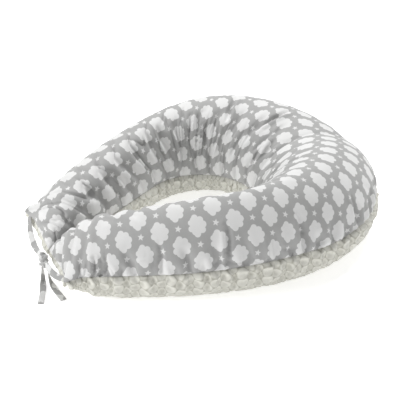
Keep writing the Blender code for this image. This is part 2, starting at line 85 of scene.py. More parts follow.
camera = place_camera()
print("camera stands", round(math.dist(camera.location, (0, 0, 0.08)), 2), "m from the pillow")

# %% [markdown]
# ## Floor and light
# A large pale floor takes the soft shadow under the pillow. The light comes from a white surround and from two big
# lamps, so that there are no hard shadow edges and the folds in the cloth still show.

# %% Set the floor and the light


def soft_lamp(name, place, size, power, target=(0.0, 0.0, 0.06)):
    lamp = bpy.data.lights.new(name, "AREA")
    lamp.shape, lamp.size, lamp.energy = "DISK", size, power
    obj = bpy.data.objects.new(name, lamp)
    bpy.context.collection.objects.link(obj)
    from_target = np.array(place) - np.array(target)
    back = from_target / np.linalg.norm(from_target)
    right = np.cross((0.0, 0.0, 1.0), back)
    right /= np.linalg.norm(right)
    turn = np.eye(4)
    turn[:3, 0], turn[:3, 1], turn[:3, 2], turn[:3, 3] = right, np.cross(back, right), back, place
    obj.matrix_world = Matrix(turn.tolist())
    return obj


def surround(strength):
    world = bpy.data.worlds.new("surround")
    world.use_nodes = True
    world.node_tree.nodes["Background"].inputs[0].default_value = (1.0, 1.0, 1.0, 1.0)
    world.node_tree.nodes["Background"].inputs[1].default_value = strength
    bpy.context.scene.world = world


def pale_floor():
    """A plain square, 60 m wide, just under the pillow."""
    mesh = bpy.data.meshes.new("floor")
    corners = [(-30, -30, -0.0006), (30, -30, -0.0006), (30, 30, -0.0006), (-30, 30, -0.0006)]
    mesh.from_pydata(corners, [], [(0, 1, 2, 3)])
    floor = bpy.data.objects.new("floor", mesh)
    bpy.context.collection.objects.link(floor)
    return floor


floor = pale_floor()
surround(0.50)
soft_lamp("lamp_above", (-0.6, 0.9, 2.0), 1.0, 38)
soft_lamp("lamp_left", (-0.2, -2.0, 1.1), 0.9, 24)
bpy.context.scene.view_settings.view_transform = "Standard"

# %% [markdown]
# ## Writing materials as sums
# A procedural material is arithmetic on the point being shaded. Wiring it node by node hides the arithmetic, so one
# small class wraps a node's output and lets plus, minus and times add the Math nodes. Everything else, such as a noise
# or a bump, comes from one method that takes the node's type, its settings and its inputs.

# %% A value that can be added and multiplied


class Value:
    """A number on the surface. Arithmetic on it adds Math nodes to its finish."""

    def __init__(self, finish, socket):
        self.finish, self.socket = finish, socket

    def math(self, operation, *others):
        return self.finish.add("ShaderNodeMath", {"operation": operation}, self, *others)

    def __add__(self, other):
        return self.math("ADD", other)

    def __sub__(self, other):
        return self.math("SUBTRACT", other)

    def __rsub__(self, other):
        return self.finish.add("ShaderNodeMath", {"operation": "SUBTRACT"}, other, self)

    def __mul__(self, other):
        return self.math("MULTIPLY", other)

    def __truediv__(self, other):
        return self.math("DIVIDE", other)

    def least(self, other):
        return self.math("MINIMUM", other)

    def most(self, other):
        return self.math("MAXIMUM", other)

    def size(self):
        return self.math("ABSOLUTE")

    def nearest(self):
        """The nearest whole number."""
        return self.math("ROUND")

    def inside(self, width):
        """1 where the value is below zero, 0 above, with an edge of this width."""
        return (0.5 - self / width).math("MINIMUM", 1.0).math("MAXIMUM", 0.0)

    __radd__, __rmul__ = __add__, __mul__


# %% A finish: one material and the nodes it is made of


class Finish:
    """A material around a Principled shader. Constants go on the shader's own sockets."""

    def __init__(self, name, **constants):
        self.material = bpy.data.materials.new(name)
        self.material.use_nodes = True
        self.tree = self.material.node_tree
        self.shader = self.tree.nodes["Principled BSDF"]
        for socket, value in constants.items():
            value = (*value, 1.0) if isinstance(value, tuple) else value
            self.shader.inputs[socket.replace("_", " ")].default_value = value

    def add(self, kind, settings, *inputs, out=0, **named):
        """Adds a node of this kind, sets it, joins its inputs in order or by name, and gives back one output."""
        node = self.tree.nodes.new(kind)
        stops = settings.pop("stops", None)
        for key, value in settings.items():
            setattr(node, key, value)
        if stops:
            for number, (place, colour) in enumerate(stops):
                ramp = node.color_ramp.elements
                stop = ramp[number] if number < 2 else ramp.new(place)
                stop.position, stop.color = place, (*colour, 1.0)
        for socket, value in [*enumerate(inputs), *((k.replace("_", " "), v) for k, v in named.items())]:
            self.feed(node.inputs[socket], value)
        return Value(self, node.outputs[out])

    def feed(self, socket, value):
        if isinstance(value, Value):
            self.tree.links.new(value.socket, socket)
        elif isinstance(value, tuple) and socket.type == "RGBA":
            socket.default_value = (*value, 1.0)
        elif value is not None:
            socket.default_value = value

    def shade(self, **sockets):
        """Joins values to the shader's sockets."""
        for socket, value in sockets.items():
            self.feed(self.shader.inputs[socket.replace("_", " ")], value)
        return self.material

    def here(self, layer=None):
        """The point being shaded: the piece's own UV layer, or its place on the object."""
        if layer:
            return self.add("ShaderNodeUVMap", {"uv_map": layer})
        return self.add("ShaderNodeTexCoord", {}, out=3)

    def parts(self, vector):
        """A vector's first two numbers."""
        node = self.tree.nodes.new("ShaderNodeSeparateXYZ")
        self.tree.links.new(vector.socket, node.inputs[0])
        return Value(self, node.outputs[0]), Value(self, node.outputs[1])

    def point(self, x, y):
        return self.add("ShaderNodeCombineXYZ", {}, x, y)

    def noise(self, at, scale, detail=2.0, rough=0.5):
        return self.add("ShaderNodeTexNoise", {}, at, Scale=scale, Detail=detail, Roughness=rough)

    def mix(self, share, first, second):
        """A colour between two colours."""
        node = self.tree.nodes.new("ShaderNodeMix")
        node.data_type = "RGBA"
        for number, value in ((0, share), (6, first), (7, second)):
            self.feed(node.inputs[number], value)
        return Value(self, node.outputs[2])

    def bump(self, height, distance, strength=1.0, under=None):
        """Turns a height from 0 to 1 into a tilt of the surface; distance is how high 1 stands, in metres."""
        return self.add("ShaderNodeBump", {}, Strength=strength, Distance=distance, Height=height, Normal=under)


paper = Finish("floor_paper", Base_Color=(0.93, 0.93, 0.93), Roughness=0.9,
               Emission_Color=(1.0, 1.0, 1.0), Emission_Strength=0.48)
floor.data.materials.append(paper.material)
print("materials are written with", Value.__name__, "and", Finish.__name__)

# %% [markdown]
# ## Cotton with clouds and stars
# The print repeats on a square cell. Clouds sit on its corners and in its middle, stars halfway between them. Turning
# the two coordinates by an eighth of a turn makes one lattice of all the clouds, so the cloud is drawn only once: its
# outline is the union of round puffs, which is the least of the distances to them. Under the ink lies a plain weave.

# %% Draw the print
CELL_ACROSS, CELL_UP = 0.066, 0.070
PRINT_SHIFT = (0.143, -0.180)
PUFFS = [
    (0.00, -0.05, 1.22), (-0.83, -0.20, 0.95), (0.83, -0.20, 0.95), (-1.46, -0.15, 0.60), (1.46, -0.15, 0.60),
    (-0.96, 0.72, 0.64), (-0.09, 1.12, 0.66), (0.83, 0.85, 0.64), (-0.66, -1.03, 0.50), (0.43, -1.10, 0.55),
]


def folded(finish, at, shift):
    """Distance across and up from the nearest point of the centred lattice, in centimetres."""
    x, y = finish.parts(at)
    x, y = x / CELL_ACROSS, y / CELL_UP
    p, q = x + y + (shift - PRINT_SHIFT[0]), x - y + (shift - PRINT_SHIFT[1])
    p, q = p - p.nearest(), q - q.nearest()
    return (p + q) * (CELL_ACROSS * 50), (p - q) * (CELL_UP * 50)


def cloud(finish, at):
    """Signed distance to the puffs, in centimetres: the least of the distances to round shapes."""
    across, up = folded(finish, at, 0.0)
    here = finish.point(across, up)
    edge = None
    for x, y, radius in PUFFS:
        puff = finish.add("ShaderNodeVectorMath", {"operation": "DISTANCE"}, here, (x, y, 0.0), out=1) - radius
        edge = puff if edge is None else edge.least(puff)
    return edge


def star(finish, at, tip=0.66, dent=0.30):
    """Signed distance to a five-pointed star: one straight edge, folded into ten equal sectors."""
    across, up = folded(finish, at, 0.5)
    sector = 2 * math.pi / 5
    angle = finish.add("ShaderNodeMath", {"operation": "ARCTAN2"}, across, up) / sector
    angle = (angle - angle.nearest()).size() * sector
    reach = finish.add("ShaderNodeVectorMath", {"operation": "LENGTH"}, finish.point(across, up), out=1)
    nx, ny = dent * math.sin(sector / 2), tip - dent * math.cos(sector / 2)
    long = math.hypot(nx, ny)
    return reach * (angle.math("COSINE") * (nx / long) + angle.math("SINE") * (ny / long)) - tip * nx / long


def woven_print(name, layer="cloth"):
    """Printed cotton: ink colours over a weave whose threads show as a fine bump and a faint change of shade."""
    finish = Finish(name, Roughness=0.9, Sheen_Weight=0.12, Sheen_Roughness=0.5, Specular_IOR_Level=0.25)
    at = finish.here(layer)
    ink = cloud(finish, at).least(star(finish, at)).inside(0.06)
    x, y = finish.parts(at)
    warp = finish.add("ShaderNodeMath", {"operation": "SINE"}, x * (2 * math.pi / 0.0011))
    weft = finish.add("ShaderNodeMath", {"operation": "SINE"}, y * (2 * math.pi / 0.0011))
    weave = warp * weft * 0.5 + 0.5
    slub = finish.noise(at, 90.0, 3.0)
    patch = finish.noise(at, 14.0, 2.0)
    shade = (slub - 0.5) * 0.22 + (patch - 0.5) * 0.10 + weave * 0.06
    grey = finish.mix(shade + 0.5, (0.29, 0.29, 0.287), (0.43, 0.43, 0.425))
    white = finish.mix(shade + 0.5, (0.60, 0.60, 0.595), (0.73, 0.73, 0.725))
    tilt = finish.bump(weave * 0.6 + slub * 0.8, 0.00035, 0.6)
    return finish.shade(Base_Color=finish.mix(ink, grey, white), Normal=tilt, Roughness=slub * 0.1 + 0.84)


print_cotton = woven_print("print_cotton")
print("print cell", CELL_ACROSS * 100, "by", CELL_UP * 100, "cm,", len(PUFFS), "puffs to a cloud,",
      len(print_cotton.node_tree.nodes), "nodes")

# %% [markdown]
# ## The ties
# Each tie is a strip of the same cotton, folded and sewn to 12 mm, that starts in the corner of an arm. Both go into
# one knot, and their free ends fall from it to the floor. A strip is a flat outline carried along a path. The path's
# points are the ones the solid model was made with, so the cloth lies where the solids are.

# %% The routes of the ties
END_Y = -0.3385
TIE_WIDTH, TIE_THICKNESS = 0.012, 0.0015
LEFT_TIE = [
    (-0.1190, -0.0009, 0.0620, 0), (-0.1080, -0.0060, 0.0560, 5), (-0.0850, -0.0125, 0.0470, 12),
    (-0.0600, -0.0165, 0.0405, 18), (-0.0340, -0.0185, 0.0395, 20), (-0.0100, -0.0185, 0.0430, 15),
    (0.0088, -0.0175, 0.0465, 10),
]
RIGHT_TIE = [
    (0.1190, -0.0009, 0.0620, 0), (0.1100, -0.0052, 0.0560, -10), (0.0900, -0.0115, 0.0490, -18),
    (0.0680, -0.0155, 0.0455, -18), (0.0500, -0.0175, 0.0460, -12), (0.0353, -0.0175, 0.0475, -8),
]
LEFT_TIE_TAIL = [
    (0.0195, -0.0207, 0.0368, 5), (0.0210, -0.0213, 0.0280, 10), (0.0260, -0.0231, 0.0175, 25),
    (0.0345, -0.0260, 0.0080, 50), (0.0450, -0.0297, 0.0030, 80), (0.0570, -0.0340, 0.0013, 90),
    (0.0740, -0.0410, 0.0013, 90), (0.0920, -0.0485, 0.0013, 90),
]
RIGHT_TIE_TAIL = [
    (0.0290, -0.0150, 0.0375, 5), (0.0305, -0.0149, 0.0285, 10), (0.0345, -0.0146, 0.0185, 20),
    (0.0425, -0.0140, 0.0090, 45), (0.0540, -0.0128, 0.0035, 75), (0.0670, -0.0115, 0.0013, 90),
    (0.0830, -0.0095, 0.0013, 90), (0.1000, -0.0075, 0.0013, 90),
]


def through(points, steps):
    """A smooth curve through given points: on each stretch a cubic whose slope at a point is half the way from the
    point before to the point after."""
    p = np.array(points, float)
    p = np.vstack([2 * p[0] - p[1], p, 2 * p[-1] - p[-2]])
    t = (np.arange(steps) / steps)[:, None, None]
    a, b, c, d = p[:-3], p[1:-2], p[2:-1], p[3:]
    runs = b + t * (c - a) / 2 + t**2 * (a - 2.5 * b + 2 * c - d / 2) + t**3 * (1.5 * (b - c) + (d - a) / 2)
    return np.vstack([runs.transpose(1, 0, 2).reshape(-1, p.shape[1]), p[-2:-1]])


def path_length(points):
    return float(np.linalg.norm(np.diff(points, axis=0), axis=1).sum())


NAMED_ROUTES = (("left", LEFT_TIE), ("right", RIGHT_TIE), ("left tail", LEFT_TIE_TAIL), ("right tail", RIGHT_TIE_TAIL))
for name, route in NAMED_ROUTES:
    print(name, "tie runs", round(path_length(through(route, 6)[:, :3]) * 1000), "mm")

# %% Put a grid of points into a mesh


def grid_quads(rows, columns, closed=False):
    """The four corners of every cell of a grid of points, row by row; closed joins the last column to the first."""
    i, j = np.meshgrid(np.arange(rows - 1), np.arange(columns if closed else columns - 1), indexing="ij")
    k = (j + 1) % columns
    return np.stack([i * columns + j, i * columns + k, (i + 1) * columns + k, (i + 1) * columns + j], -1).reshape(-1, 4)


def new_piece(name, points, faces, material, uv=None, body="pillow", smooth=True):
    """A mesh object from arrays; uv holds one pair for each point."""
    mesh = bpy.data.meshes.new(name)
    mesh.from_pydata(points.reshape(-1, 3).tolist(), [], [list(f) for f in faces])
    mesh.update()
    if uv is not None:
        corner = np.zeros(len(mesh.loops), np.int32)
        mesh.loops.foreach_get("vertex_index", corner)
        layer = mesh.uv_layers.new(name="cloth")
        layer.data.foreach_set("uv", np.asarray(uv, np.float32).reshape(-1, 2)[corner].ravel())
    mesh.polygons.foreach_set("use_smooth", [smooth] * len(mesh.polygons))
    mesh.materials.append(material)
    piece = bpy.data.objects.new(name, mesh)
    bpy.context.collection.objects.link(piece)
    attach(piece, body)
    return piece


def strip_frame(path):
    """Directions at each point of a leaning path: ahead, across the width, and out of the face."""
    places, lean = path[:, :3], np.radians(path[:, 3])[:, None]
    ahead = np.gradient(places, axis=0)
    ahead /= np.linalg.norm(ahead, axis=1, keepdims=True)
    side = np.cross(ahead, (0.0, 0.0, 1.0))
    side[np.abs(ahead[:, 2]) > 0.98] = (1.0, 0.0, 0.0)
    side /= np.linalg.norm(side, axis=1, keepdims=True)
    upright = np.cross(side, ahead)
    width = upright * np.cos(lean) + side * np.sin(lean)
    return ahead, width, np.cross(ahead, width)


print("a strip has three directions at each point of its path")

# %% Make the ties


def mend_mesh(piece, merge=0.0, fill=False):
    """Merge points closer than `merge`, fill open edges if asked, and turn every face outwards."""
    mesh = bmesh.new()
    mesh.from_mesh(piece.data)
    if merge:
        bmesh.ops.remove_doubles(mesh, verts=mesh.verts, dist=merge)
    if fill:
        bmesh.ops.holes_fill(mesh, edges=[e for e in mesh.edges if e.is_boundary])
    bmesh.ops.recalc_face_normals(mesh, faces=mesh.faces)
    mesh.to_mesh(piece.data)
    mesh.free()


def cloth_tie(name, route, print_start):
    """A flat outline, thick at its two hems, carried along the route. Its width breathes and its faces ripple by
    fractions of a millimetre, as a pressed strip of cotton does after it has been tied. Between seam and knot it turns
    its flat side up."""
    path = through(route, 8) + (0.0, END_Y, 0.0, 0.0)
    if not name.endswith("tail"):
        turn = np.sin(np.linspace(0, np.pi, len(path))) ** 0.7
        path[:, 3] += (math.copysign(66, route[0][0]) - path[:, 3]) * turn
    ahead, width, face = strip_frame(path)
    t = np.linspace(0, 2 * np.pi, 26, endpoint=False)
    c, s = np.cos(t), np.sin(t)
    across = np.sign(c) * np.abs(c) ** 0.55
    hem = 0.72 + 0.28 * np.exp(-(((np.abs(across) - 0.80) / 0.12) ** 2))
    thick = np.sign(s) * np.abs(s) ** 0.45 * hem
    along = np.concatenate([[0], np.cumsum(np.linalg.norm(np.diff(path[:, :3], axis=0), axis=1))])
    phase = along[:, None] * 2 * np.pi
    ripple = 0.00025 * np.sin(phase / 0.023 + across * 1.3) + 0.00015 * np.sin(phase / 0.0091 + 2.0 * across)
    half = TIE_WIDTH / 2 * (0.96 + 0.04 * np.sin(phase / 0.037))
    rings = (
        path[:, None, :3]
        + width[:, None, :] * (across * half)[..., None]
        + face[:, None, :] * (thick * TIE_THICKNESS / 2 * 0.95 + ripple)[..., None]
    )
    count, around = rings.shape[:2]
    faces = grid_quads(count, around, closed=True).tolist()
    faces += [list(range(around))[::-1], list(range((count - 1) * around, count * around))]
    uv = np.stack([np.broadcast_to(across * half, (count, around)) + print_start[0],
                   np.broadcast_to(along[:, None], (count, around)) + print_start[1] + 0.4 * TIE_WIDTH * (s < 0)], -1)
    tie = new_piece(name + "_cloth", rings, faces, print_cotton, uv)
    mend_mesh(tie)
    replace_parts(tie, name)
    return tie, path[:, :3]


ROUTES = {
    "left_tie": (LEFT_TIE, (0.006, 0.020)), "right_tie": (RIGHT_TIE, (0.010, 0.004)),
    "left_tie_tail": (LEFT_TIE_TAIL, (0.004, 0.0)), "right_tie_tail": (RIGHT_TIE_TAIL, (0.016, 0.03)),
}
ties = {name: cloth_tie(name, route, start) for name, (route, start) in ROUTES.items()}
print("ties:", {name: round(path_length(path) * 1000) for name, (tie, path) in ties.items()}, "mm")

# %% [markdown]
# ## The knot
# The two strips are tied together once. A single knot is a curve that crosses itself three times: a trefoil, whose
# distance from the middle and height go up and down three times while it goes round twice. A flat strip is carried
# along it and closed on itself. In a pulled knot the strands press flat against each other.

# %% Tie the knot
KNOT_SIZE, KNOT_PLACE = (0.026, 0.014, 0.022), (0.022, -0.0175, 0.0480)


def tie_knot():
    """The trefoil: sin t + 2 sin 2t across, cos t - 2 cos 2t up, sin 3t in depth, scaled to the knot's size."""
    t = np.linspace(0, 2 * np.pi, 121)[:-1]
    curve = np.stack([np.sin(t) + 2 * np.sin(2 * t), -np.sin(3 * t) * 1.15, np.cos(t) - 2 * np.cos(2 * t)], 1)
    half = (np.array(KNOT_SIZE) / 2 - (0.0030, 0.0022, 0.0030)) / (2.75, 1.15, 2.95)
    curve = curve * half
    ahead = np.roll(curve, -1, 0) - np.roll(curve, 1, 0)
    ahead /= np.linalg.norm(ahead, axis=1, keepdims=True)
    outward = curve * (1.0, 0.25, 1.0)
    outward -= (outward * ahead).sum(1, keepdims=True) * ahead
    outward /= np.linalg.norm(outward, axis=1, keepdims=True)
    width = np.cross(ahead, outward)
    a = np.linspace(0, 2 * np.pi, 12, endpoint=False)
    wide = 0.0036 * np.sign(np.cos(a)) * np.abs(np.cos(a)) ** 0.7
    deep = 0.0024 * np.sign(np.sin(a)) * np.abs(np.sin(a)) ** 0.7
    rings = curve[:, None] + width[:, None] * wide[:, None] + outward[:, None] * deep[:, None]
    rings = rings + (KNOT_PLACE[0], KNOT_PLACE[1] + END_Y, KNOT_PLACE[2])
    rings = np.concatenate([rings, rings[:1]])
    uv = np.stack([rings[..., 0] * 1.3 + 0.012, rings[..., 2] * 1.3 + rings[..., 1]], -1)
    faces = grid_quads(*rings.shape[:2], closed=True)
    knot = new_piece("tie_knot_cloth", rings, faces, print_cotton, uv)
    mend_mesh(knot, merge=1e-7)
    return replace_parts(knot, "tie_knot")


knot = tie_knot()
print("knot:", len(knot.data.polygons), "faces;", len(ties), "ties declared")

# %% [markdown]
# ## The shape of the stuffed ring
# Every piece of cloth on the ring is a grid of points with two parameters. One runs along the ring, from the end of
# the left arm (-2) over the middle of the back (0) to the end of the right arm (2). The other goes over the cloth, from
# the outer seam (0) over the crown to the waist seam (half a turn). The plan edges are arcs and lines. Between them a
# point moves by the cosine of the second parameter and rises by its sine, both bent a little by a power, so that the
# sides stand steeper than a circle's.

# %% Edges of the ring, seen from above
BACK_Y, BACK_DEPTH = 0.3385, 0.246
BACK_RADIUS, WAIST_RADIUS, ARM_EDGE_RADIUS, WAIST_NECK_RADIUS = 0.252, 0.120, 0.650, 0.200
ARM_TURN, WAIST_TURN, ARM_GAP = math.radians(25), math.radians(27), 0.004
BACK_CENTRE_Y, WAIST_CENTRE_Y = BACK_Y - BACK_RADIUS, BACK_Y - BACK_DEPTH - WAIST_RADIUS


def trace(start, pieces, s):
    """A chain of arcs and lines that starts along +X. Each piece is (length, clockwise turn). On an arc the heading
    changes evenly and the point goes round the arc's centre; on a line the heading stays."""
    points, headings = np.zeros((len(s), 2)), np.zeros(len(s))
    (x, y), heading, begun = start, 0.0, 0.0
    for number, (length, turn) in enumerate(pieces):
        here = (s >= begun) & ((s < begun + length) | (number == len(pieces) - 1))
        run = np.append(s[here] - begun, length)
        if turn:
            radius = length / turn
            facing = heading - run / radius
            xs = x + radius * (math.sin(heading) - np.sin(facing))
            ys = y - radius * (math.cos(heading) - np.cos(facing))
        else:
            facing = np.full(len(run), heading)
            xs, ys = x + run * math.cos(heading), y + run * math.sin(heading)
        points[here], headings[here] = np.stack([xs, ys], 1)[:-1], facing[:-1]
        x, y, heading, begun = xs[-1], ys[-1], facing[-1], begun + length
    return points, headings


def edge(pieces, start, along, inset):
    """One edge of the right half, moved inwards by inset: along is 0 to 1 on the first arc and 1 to 2 on the rest."""
    first, rest = pieces[0][0], sum(length for length, _ in pieces[1:])
    points, headings = trace(start, pieces, np.where(along <= 1, along * first, first + (along - 1) * rest))
    return points - np.stack([-np.sin(headings), np.cos(headings)], 1) * inset


def outer_edge(along, inset):
    arm_y = BACK_CENTRE_Y - ARM_EDGE_RADIUS * math.sin(ARM_TURN)
    straight = (arm_y - END_Y - inset) / math.cos(ARM_TURN)
    pieces = [(BACK_RADIUS * math.pi / 2, math.pi / 2), (ARM_EDGE_RADIUS * ARM_TURN, ARM_TURN), (straight, 0.0)]
    return edge(pieces, (0.0, BACK_Y), along, inset)


def waist_edge(along, inset):
    flank_x = WAIST_RADIUS * math.cos(WAIST_TURN)
    flank_y = WAIST_CENTRE_Y - WAIST_RADIUS * math.sin(WAIST_TURN)
    tangent = WAIST_NECK_RADIUS * math.tan(WAIST_TURN / 2)
    reach = (flank_x - ARM_GAP / 2) / math.sin(WAIST_TURN)
    corner_y = flank_y - reach * math.cos(WAIST_TURN)
    pieces = [
        (WAIST_RADIUS * math.pi / 2, math.pi / 2), (WAIST_RADIUS * WAIST_TURN, WAIST_TURN), (reach - tangent, 0.0),
        (WAIST_NECK_RADIUS * WAIST_TURN, -WAIST_TURN), (corner_y - tangent - END_Y - inset, 0.0),
    ]
    return edge(pieces, (0.0, BACK_Y - BACK_DEPTH), along, -inset)


print("ring:", round(2 * outer_edge(np.array([1.0]), 0)[0, 0], 3), "m wide outside,",
      round(2 * waist_edge(np.array([1.0]), 0)[0, 0], 3), "m inside")

# %% A layer of the ring
ZIP_LENGTH, ZIP_SLOT = 0.300, 0.0092
ZIP_START = math.radians(48) - ZIP_LENGTH / BACK_RADIUS / 2
END_ROUNDING = 0.24


def smooth_step(t):
    t = np.clip(t, 0.0, 1.0)
    return t * t * (3 - 2 * t)


def slot_lift(along):
    """Half the width of the slot that the zip lies in: it opens and closes over a few centimetres at the zip's ends."""
    start = ZIP_START / (math.pi / 2)
    end, ramp = start + ZIP_LENGTH / (BACK_RADIUS * math.pi / 2), 0.08
    inside = smooth_step((along - start) / ramp + 1) * smooth_step((end - along) / ramp + 1)
    return ZIP_SLOT / 2 * inside


def layer(upper, along, phi, inset=0.0):
    """Points of the top or the underside: plan by cosine, height by sine, up to a crown that is 158 mm high at the
    back, 190 mm on the arms and 117 mm at their ends, or down to the floor. along may be negative: the left half, whose
    arm lies a little flatter towards the waist, so both its powers are smaller there."""
    along, phi = np.broadcast_arrays(along, phi)
    a = np.abs(along)
    lying = smooth_step((-along - 0.5) / 0.6) * (phi > math.pi / 2) * upper
    side_power, top_power = 1.16 - 0.34 * lying, 0.95 - 0.25 * lying
    outer = outer_edge(a.ravel(), inset).reshape(*a.shape, 2)
    waist = waist_edge(a.ravel(), inset).reshape(*a.shape, 2)
    mix = (1 + np.sign(np.cos(phi)) * np.abs(np.cos(phi)) ** side_power) / 2
    plan = outer * mix[..., None] + waist * (1 - mix)[..., None]
    drop = smooth_step(a - 1)
    seam = (0.072 - 0.009 * drop) * mix + (0.056 - 0.009 * drop) * (1 - mix)
    lift = slot_lift(a) * (along < 0) * (1 - np.abs(phi) / np.pi)
    q = np.clip((a - (2 - END_ROUNDING)) / END_ROUNDING, 0, 1)
    rise, fall, v = np.abs(np.sin(phi)), np.sqrt(np.maximum(1 - q * q, 0)), a / 2
    if upper:
        crown = 0.158 * (1 - v) * (1 - 2 * v) + 4 * 0.190 * v * (1 - v) + 0.117 * v * (2 * v - 1)
        height = seam + lift + (crown - inset - seam - lift) * rise**top_power * fall
    else:
        press = np.minimum(1.10 * rise**0.65 * fall, 1)
        height = seam - lift - (seam - lift - inset) * press
    x = plan[..., 0] * np.where(along < 0, -1.0, 1.0)
    return np.stack([x, plan[..., 1], height], -1)


def even(curve_of, low, high, count):
    """Parameter values between low and high that cut a curve into equal lengths."""
    fine = np.linspace(low, high, 4001)
    run = np.concatenate([[0], np.cumsum(np.linalg.norm(np.diff(curve_of(fine), axis=0), axis=1))])
    return np.interp(np.linspace(0, run[-1], count), run, fine)


COLUMNS, TOP_ROWS, UNDER_ROWS = 401, 71, 57
half = even(lambda a: layer(True, a, np.full_like(a, math.pi / 2)), 0.0, 2.0, (COLUMNS + 1) // 2)
ALONG = np.concatenate([-half[:0:-1], half])
TOP_PHI = even(lambda t: layer(True, np.full_like(t, 0.9), t), 0.0, math.pi, TOP_ROWS)
UNDER_PHI = even(lambda t: layer(False, np.full_like(t, 0.9), t), 0.0, math.pi, UNDER_ROWS)


def with_ears(points):
    """Draws the two outer corners of the arm ends out into points, by 13 mm, falling away like a bell."""
    for row, sign in ((0, -1.0), (-1, 1.0)):
        corner = points[row, 0].copy()
        near = np.exp(-((np.linalg.norm(points - corner, axis=2) / 0.017) ** 2))
        points = points + near[..., None] * np.array([sign * 0.0085, -0.0095, -0.002])
    return points


top_smooth = with_ears(layer(True, ALONG[:, None], TOP_PHI[None, :]))
under_smooth = with_ears(layer(False, ALONG[:, None], UNDER_PHI[None, :]))
print("grids:", top_smooth.shape[:2], "and", under_smooth.shape[:2], "points, about",
      round(path_length(top_smooth[:, TOP_ROWS // 2]) / (COLUMNS - 1) * 1000, 1), "mm apart")

# %% [markdown]
# ## Laying out the cloth
# The print was on the cloth before it was cut, so it can't be painted from above: it has to follow the cloth over the
# crown and down the sides. The crown's line is laid out flat first, with a tenth of its bend taken out, because the
# flat piece is cut a little more open than the finished ring. Every other point lies at its own distance across the
# cloth from that line. These flat coordinates, in metres, become the UV map.

# %% Flatten a panel


def flat_layout(points, middle, opened=0.60, eased=0.40, turned=math.radians(-24)):
    """Flat coordinates of a grid. The middle row's length and its heading, reduced by `opened`, give the middle line,
    which is longer by `eased` where the ring bends, because extra cloth is gathered there. From it, every step over the
    cloth is split in two: the part along the ring and the part across it. Both are summed, so nothing is sheared. The
    part along the ring changes its sign at the middle of the back, so it fades out there. At the end all is turned,
    because the piece was not cut square to the print."""
    line = points[:, middle]
    step = np.linalg.norm(np.diff(line, axis=0), axis=1)
    ahead = np.diff(line[:, :2], axis=0)
    heading = np.unwrap(np.arctan2(ahead[:, 1], ahead[:, 0]))
    heading[: 12], heading[-12:] = heading[12], heading[-13]
    heading = heading - heading[len(heading) // 2]
    bend = np.pad(np.abs(np.gradient(heading)) / step * 0.15, 15, mode="edge")
    bend = np.clip(np.convolve(bend, np.full(31, 1 / 31), "valid"), 0, 1)
    heading, step = heading * opened, step * (1 + eased * bend)
    flat = np.concatenate([[[0, 0]], np.cumsum(np.stack([np.cos(heading), np.sin(heading)], 1) * step[:, None], 0)])
    flat = flat - flat[len(flat) // 2]
    at_point = np.interp(np.arange(len(line)), np.arange(len(heading)) + 0.5, heading)
    tangent = np.gradient(points, axis=0)
    tangent /= np.linalg.norm(tangent, axis=2, keepdims=True)
    tangent = tangent[:, 1:] + tangent[:, :-1]
    tangent /= np.linalg.norm(tangent, axis=2, keepdims=True)
    over = np.diff(points, axis=1)
    forward = (over * tangent).sum(-1)
    sideways = np.sqrt(np.maximum((over**2).sum(-1) - forward**2, 0))
    total = lambda steps: np.concatenate([np.zeros((len(line), 1)), np.cumsum(steps, 1)], 1)
    forward, sideways = total(forward), total(sideways)
    calm = smooth_step(np.abs(np.linspace(-1, 1, len(line))) / 0.3)[:, None]
    forward, aside = (forward - forward[:, middle : middle + 1]) * calm, sideways[:, middle : middle + 1] - sideways
    outward = np.stack([-np.sin(at_point), np.cos(at_point)], 1)
    onward = np.stack([np.cos(at_point), np.sin(at_point)], 1)
    flat = flat[:, None] + outward[:, None] * aside[..., None] + onward[:, None] * forward[..., None]
    c, s = math.cos(turned), math.sin(turned)
    return np.stack([flat[..., 0] * c - flat[..., 1] * s, flat[..., 0] * s + flat[..., 1] * c], -1)


top_flat = flat_layout(top_smooth, TOP_ROWS // 2)
under_flat = flat_layout(under_smooth, UNDER_ROWS // 2)
print("the top is cut from", np.round(np.ptp(top_flat.reshape(-1, 2), axis=0), 2), "m of cloth")

# %% [markdown]
# ## Letting the cloth wrinkle
# The flat pieces are longer than the seams they are sewn into, and the stuffing takes up only part of that, so the
# cloth buckles: small gathers all along the seam and long slanting pleats on the inside of the arms. Painting each
# pleat would look painted. Instead the threads of the grid become springs that are a little longer than the space they
# have. In each round the springs pull or push their ends apart, stiffness smooths the sharpest bends, the stuffing
# presses outwards and holds the broad shape, and the pleats find their own places.

# %% Springs and stuffing


def spread_out(field, reach, rounds=2):
    """A blur: the average over a square of neighbours, worked out with running sums, done a few times."""
    for _ in range(rounds):
        for axis in (0, 1):
            edge_pad = [(0, 0)] * field.ndim
            edge_pad[axis] = (reach + 1, reach)
            run = np.cumsum(np.pad(field, edge_pad, mode="edge"), axis=axis)
            n = field.shape[axis]
            take = lambda first: np.take(run, range(first, first + n), axis=axis)
            field = (take(2 * reach + 1) - take(0)) / (2 * reach + 1)
    return field


def facing_out(points):
    """The normal of a grid: the cross product of its two directions, of length one, pointing out of the ring."""
    normal = np.cross(np.gradient(points, axis=1), np.gradient(points, axis=0))
    size = np.linalg.norm(normal, axis=2, keepdims=True)
    return normal / np.maximum(size, 1e-12)


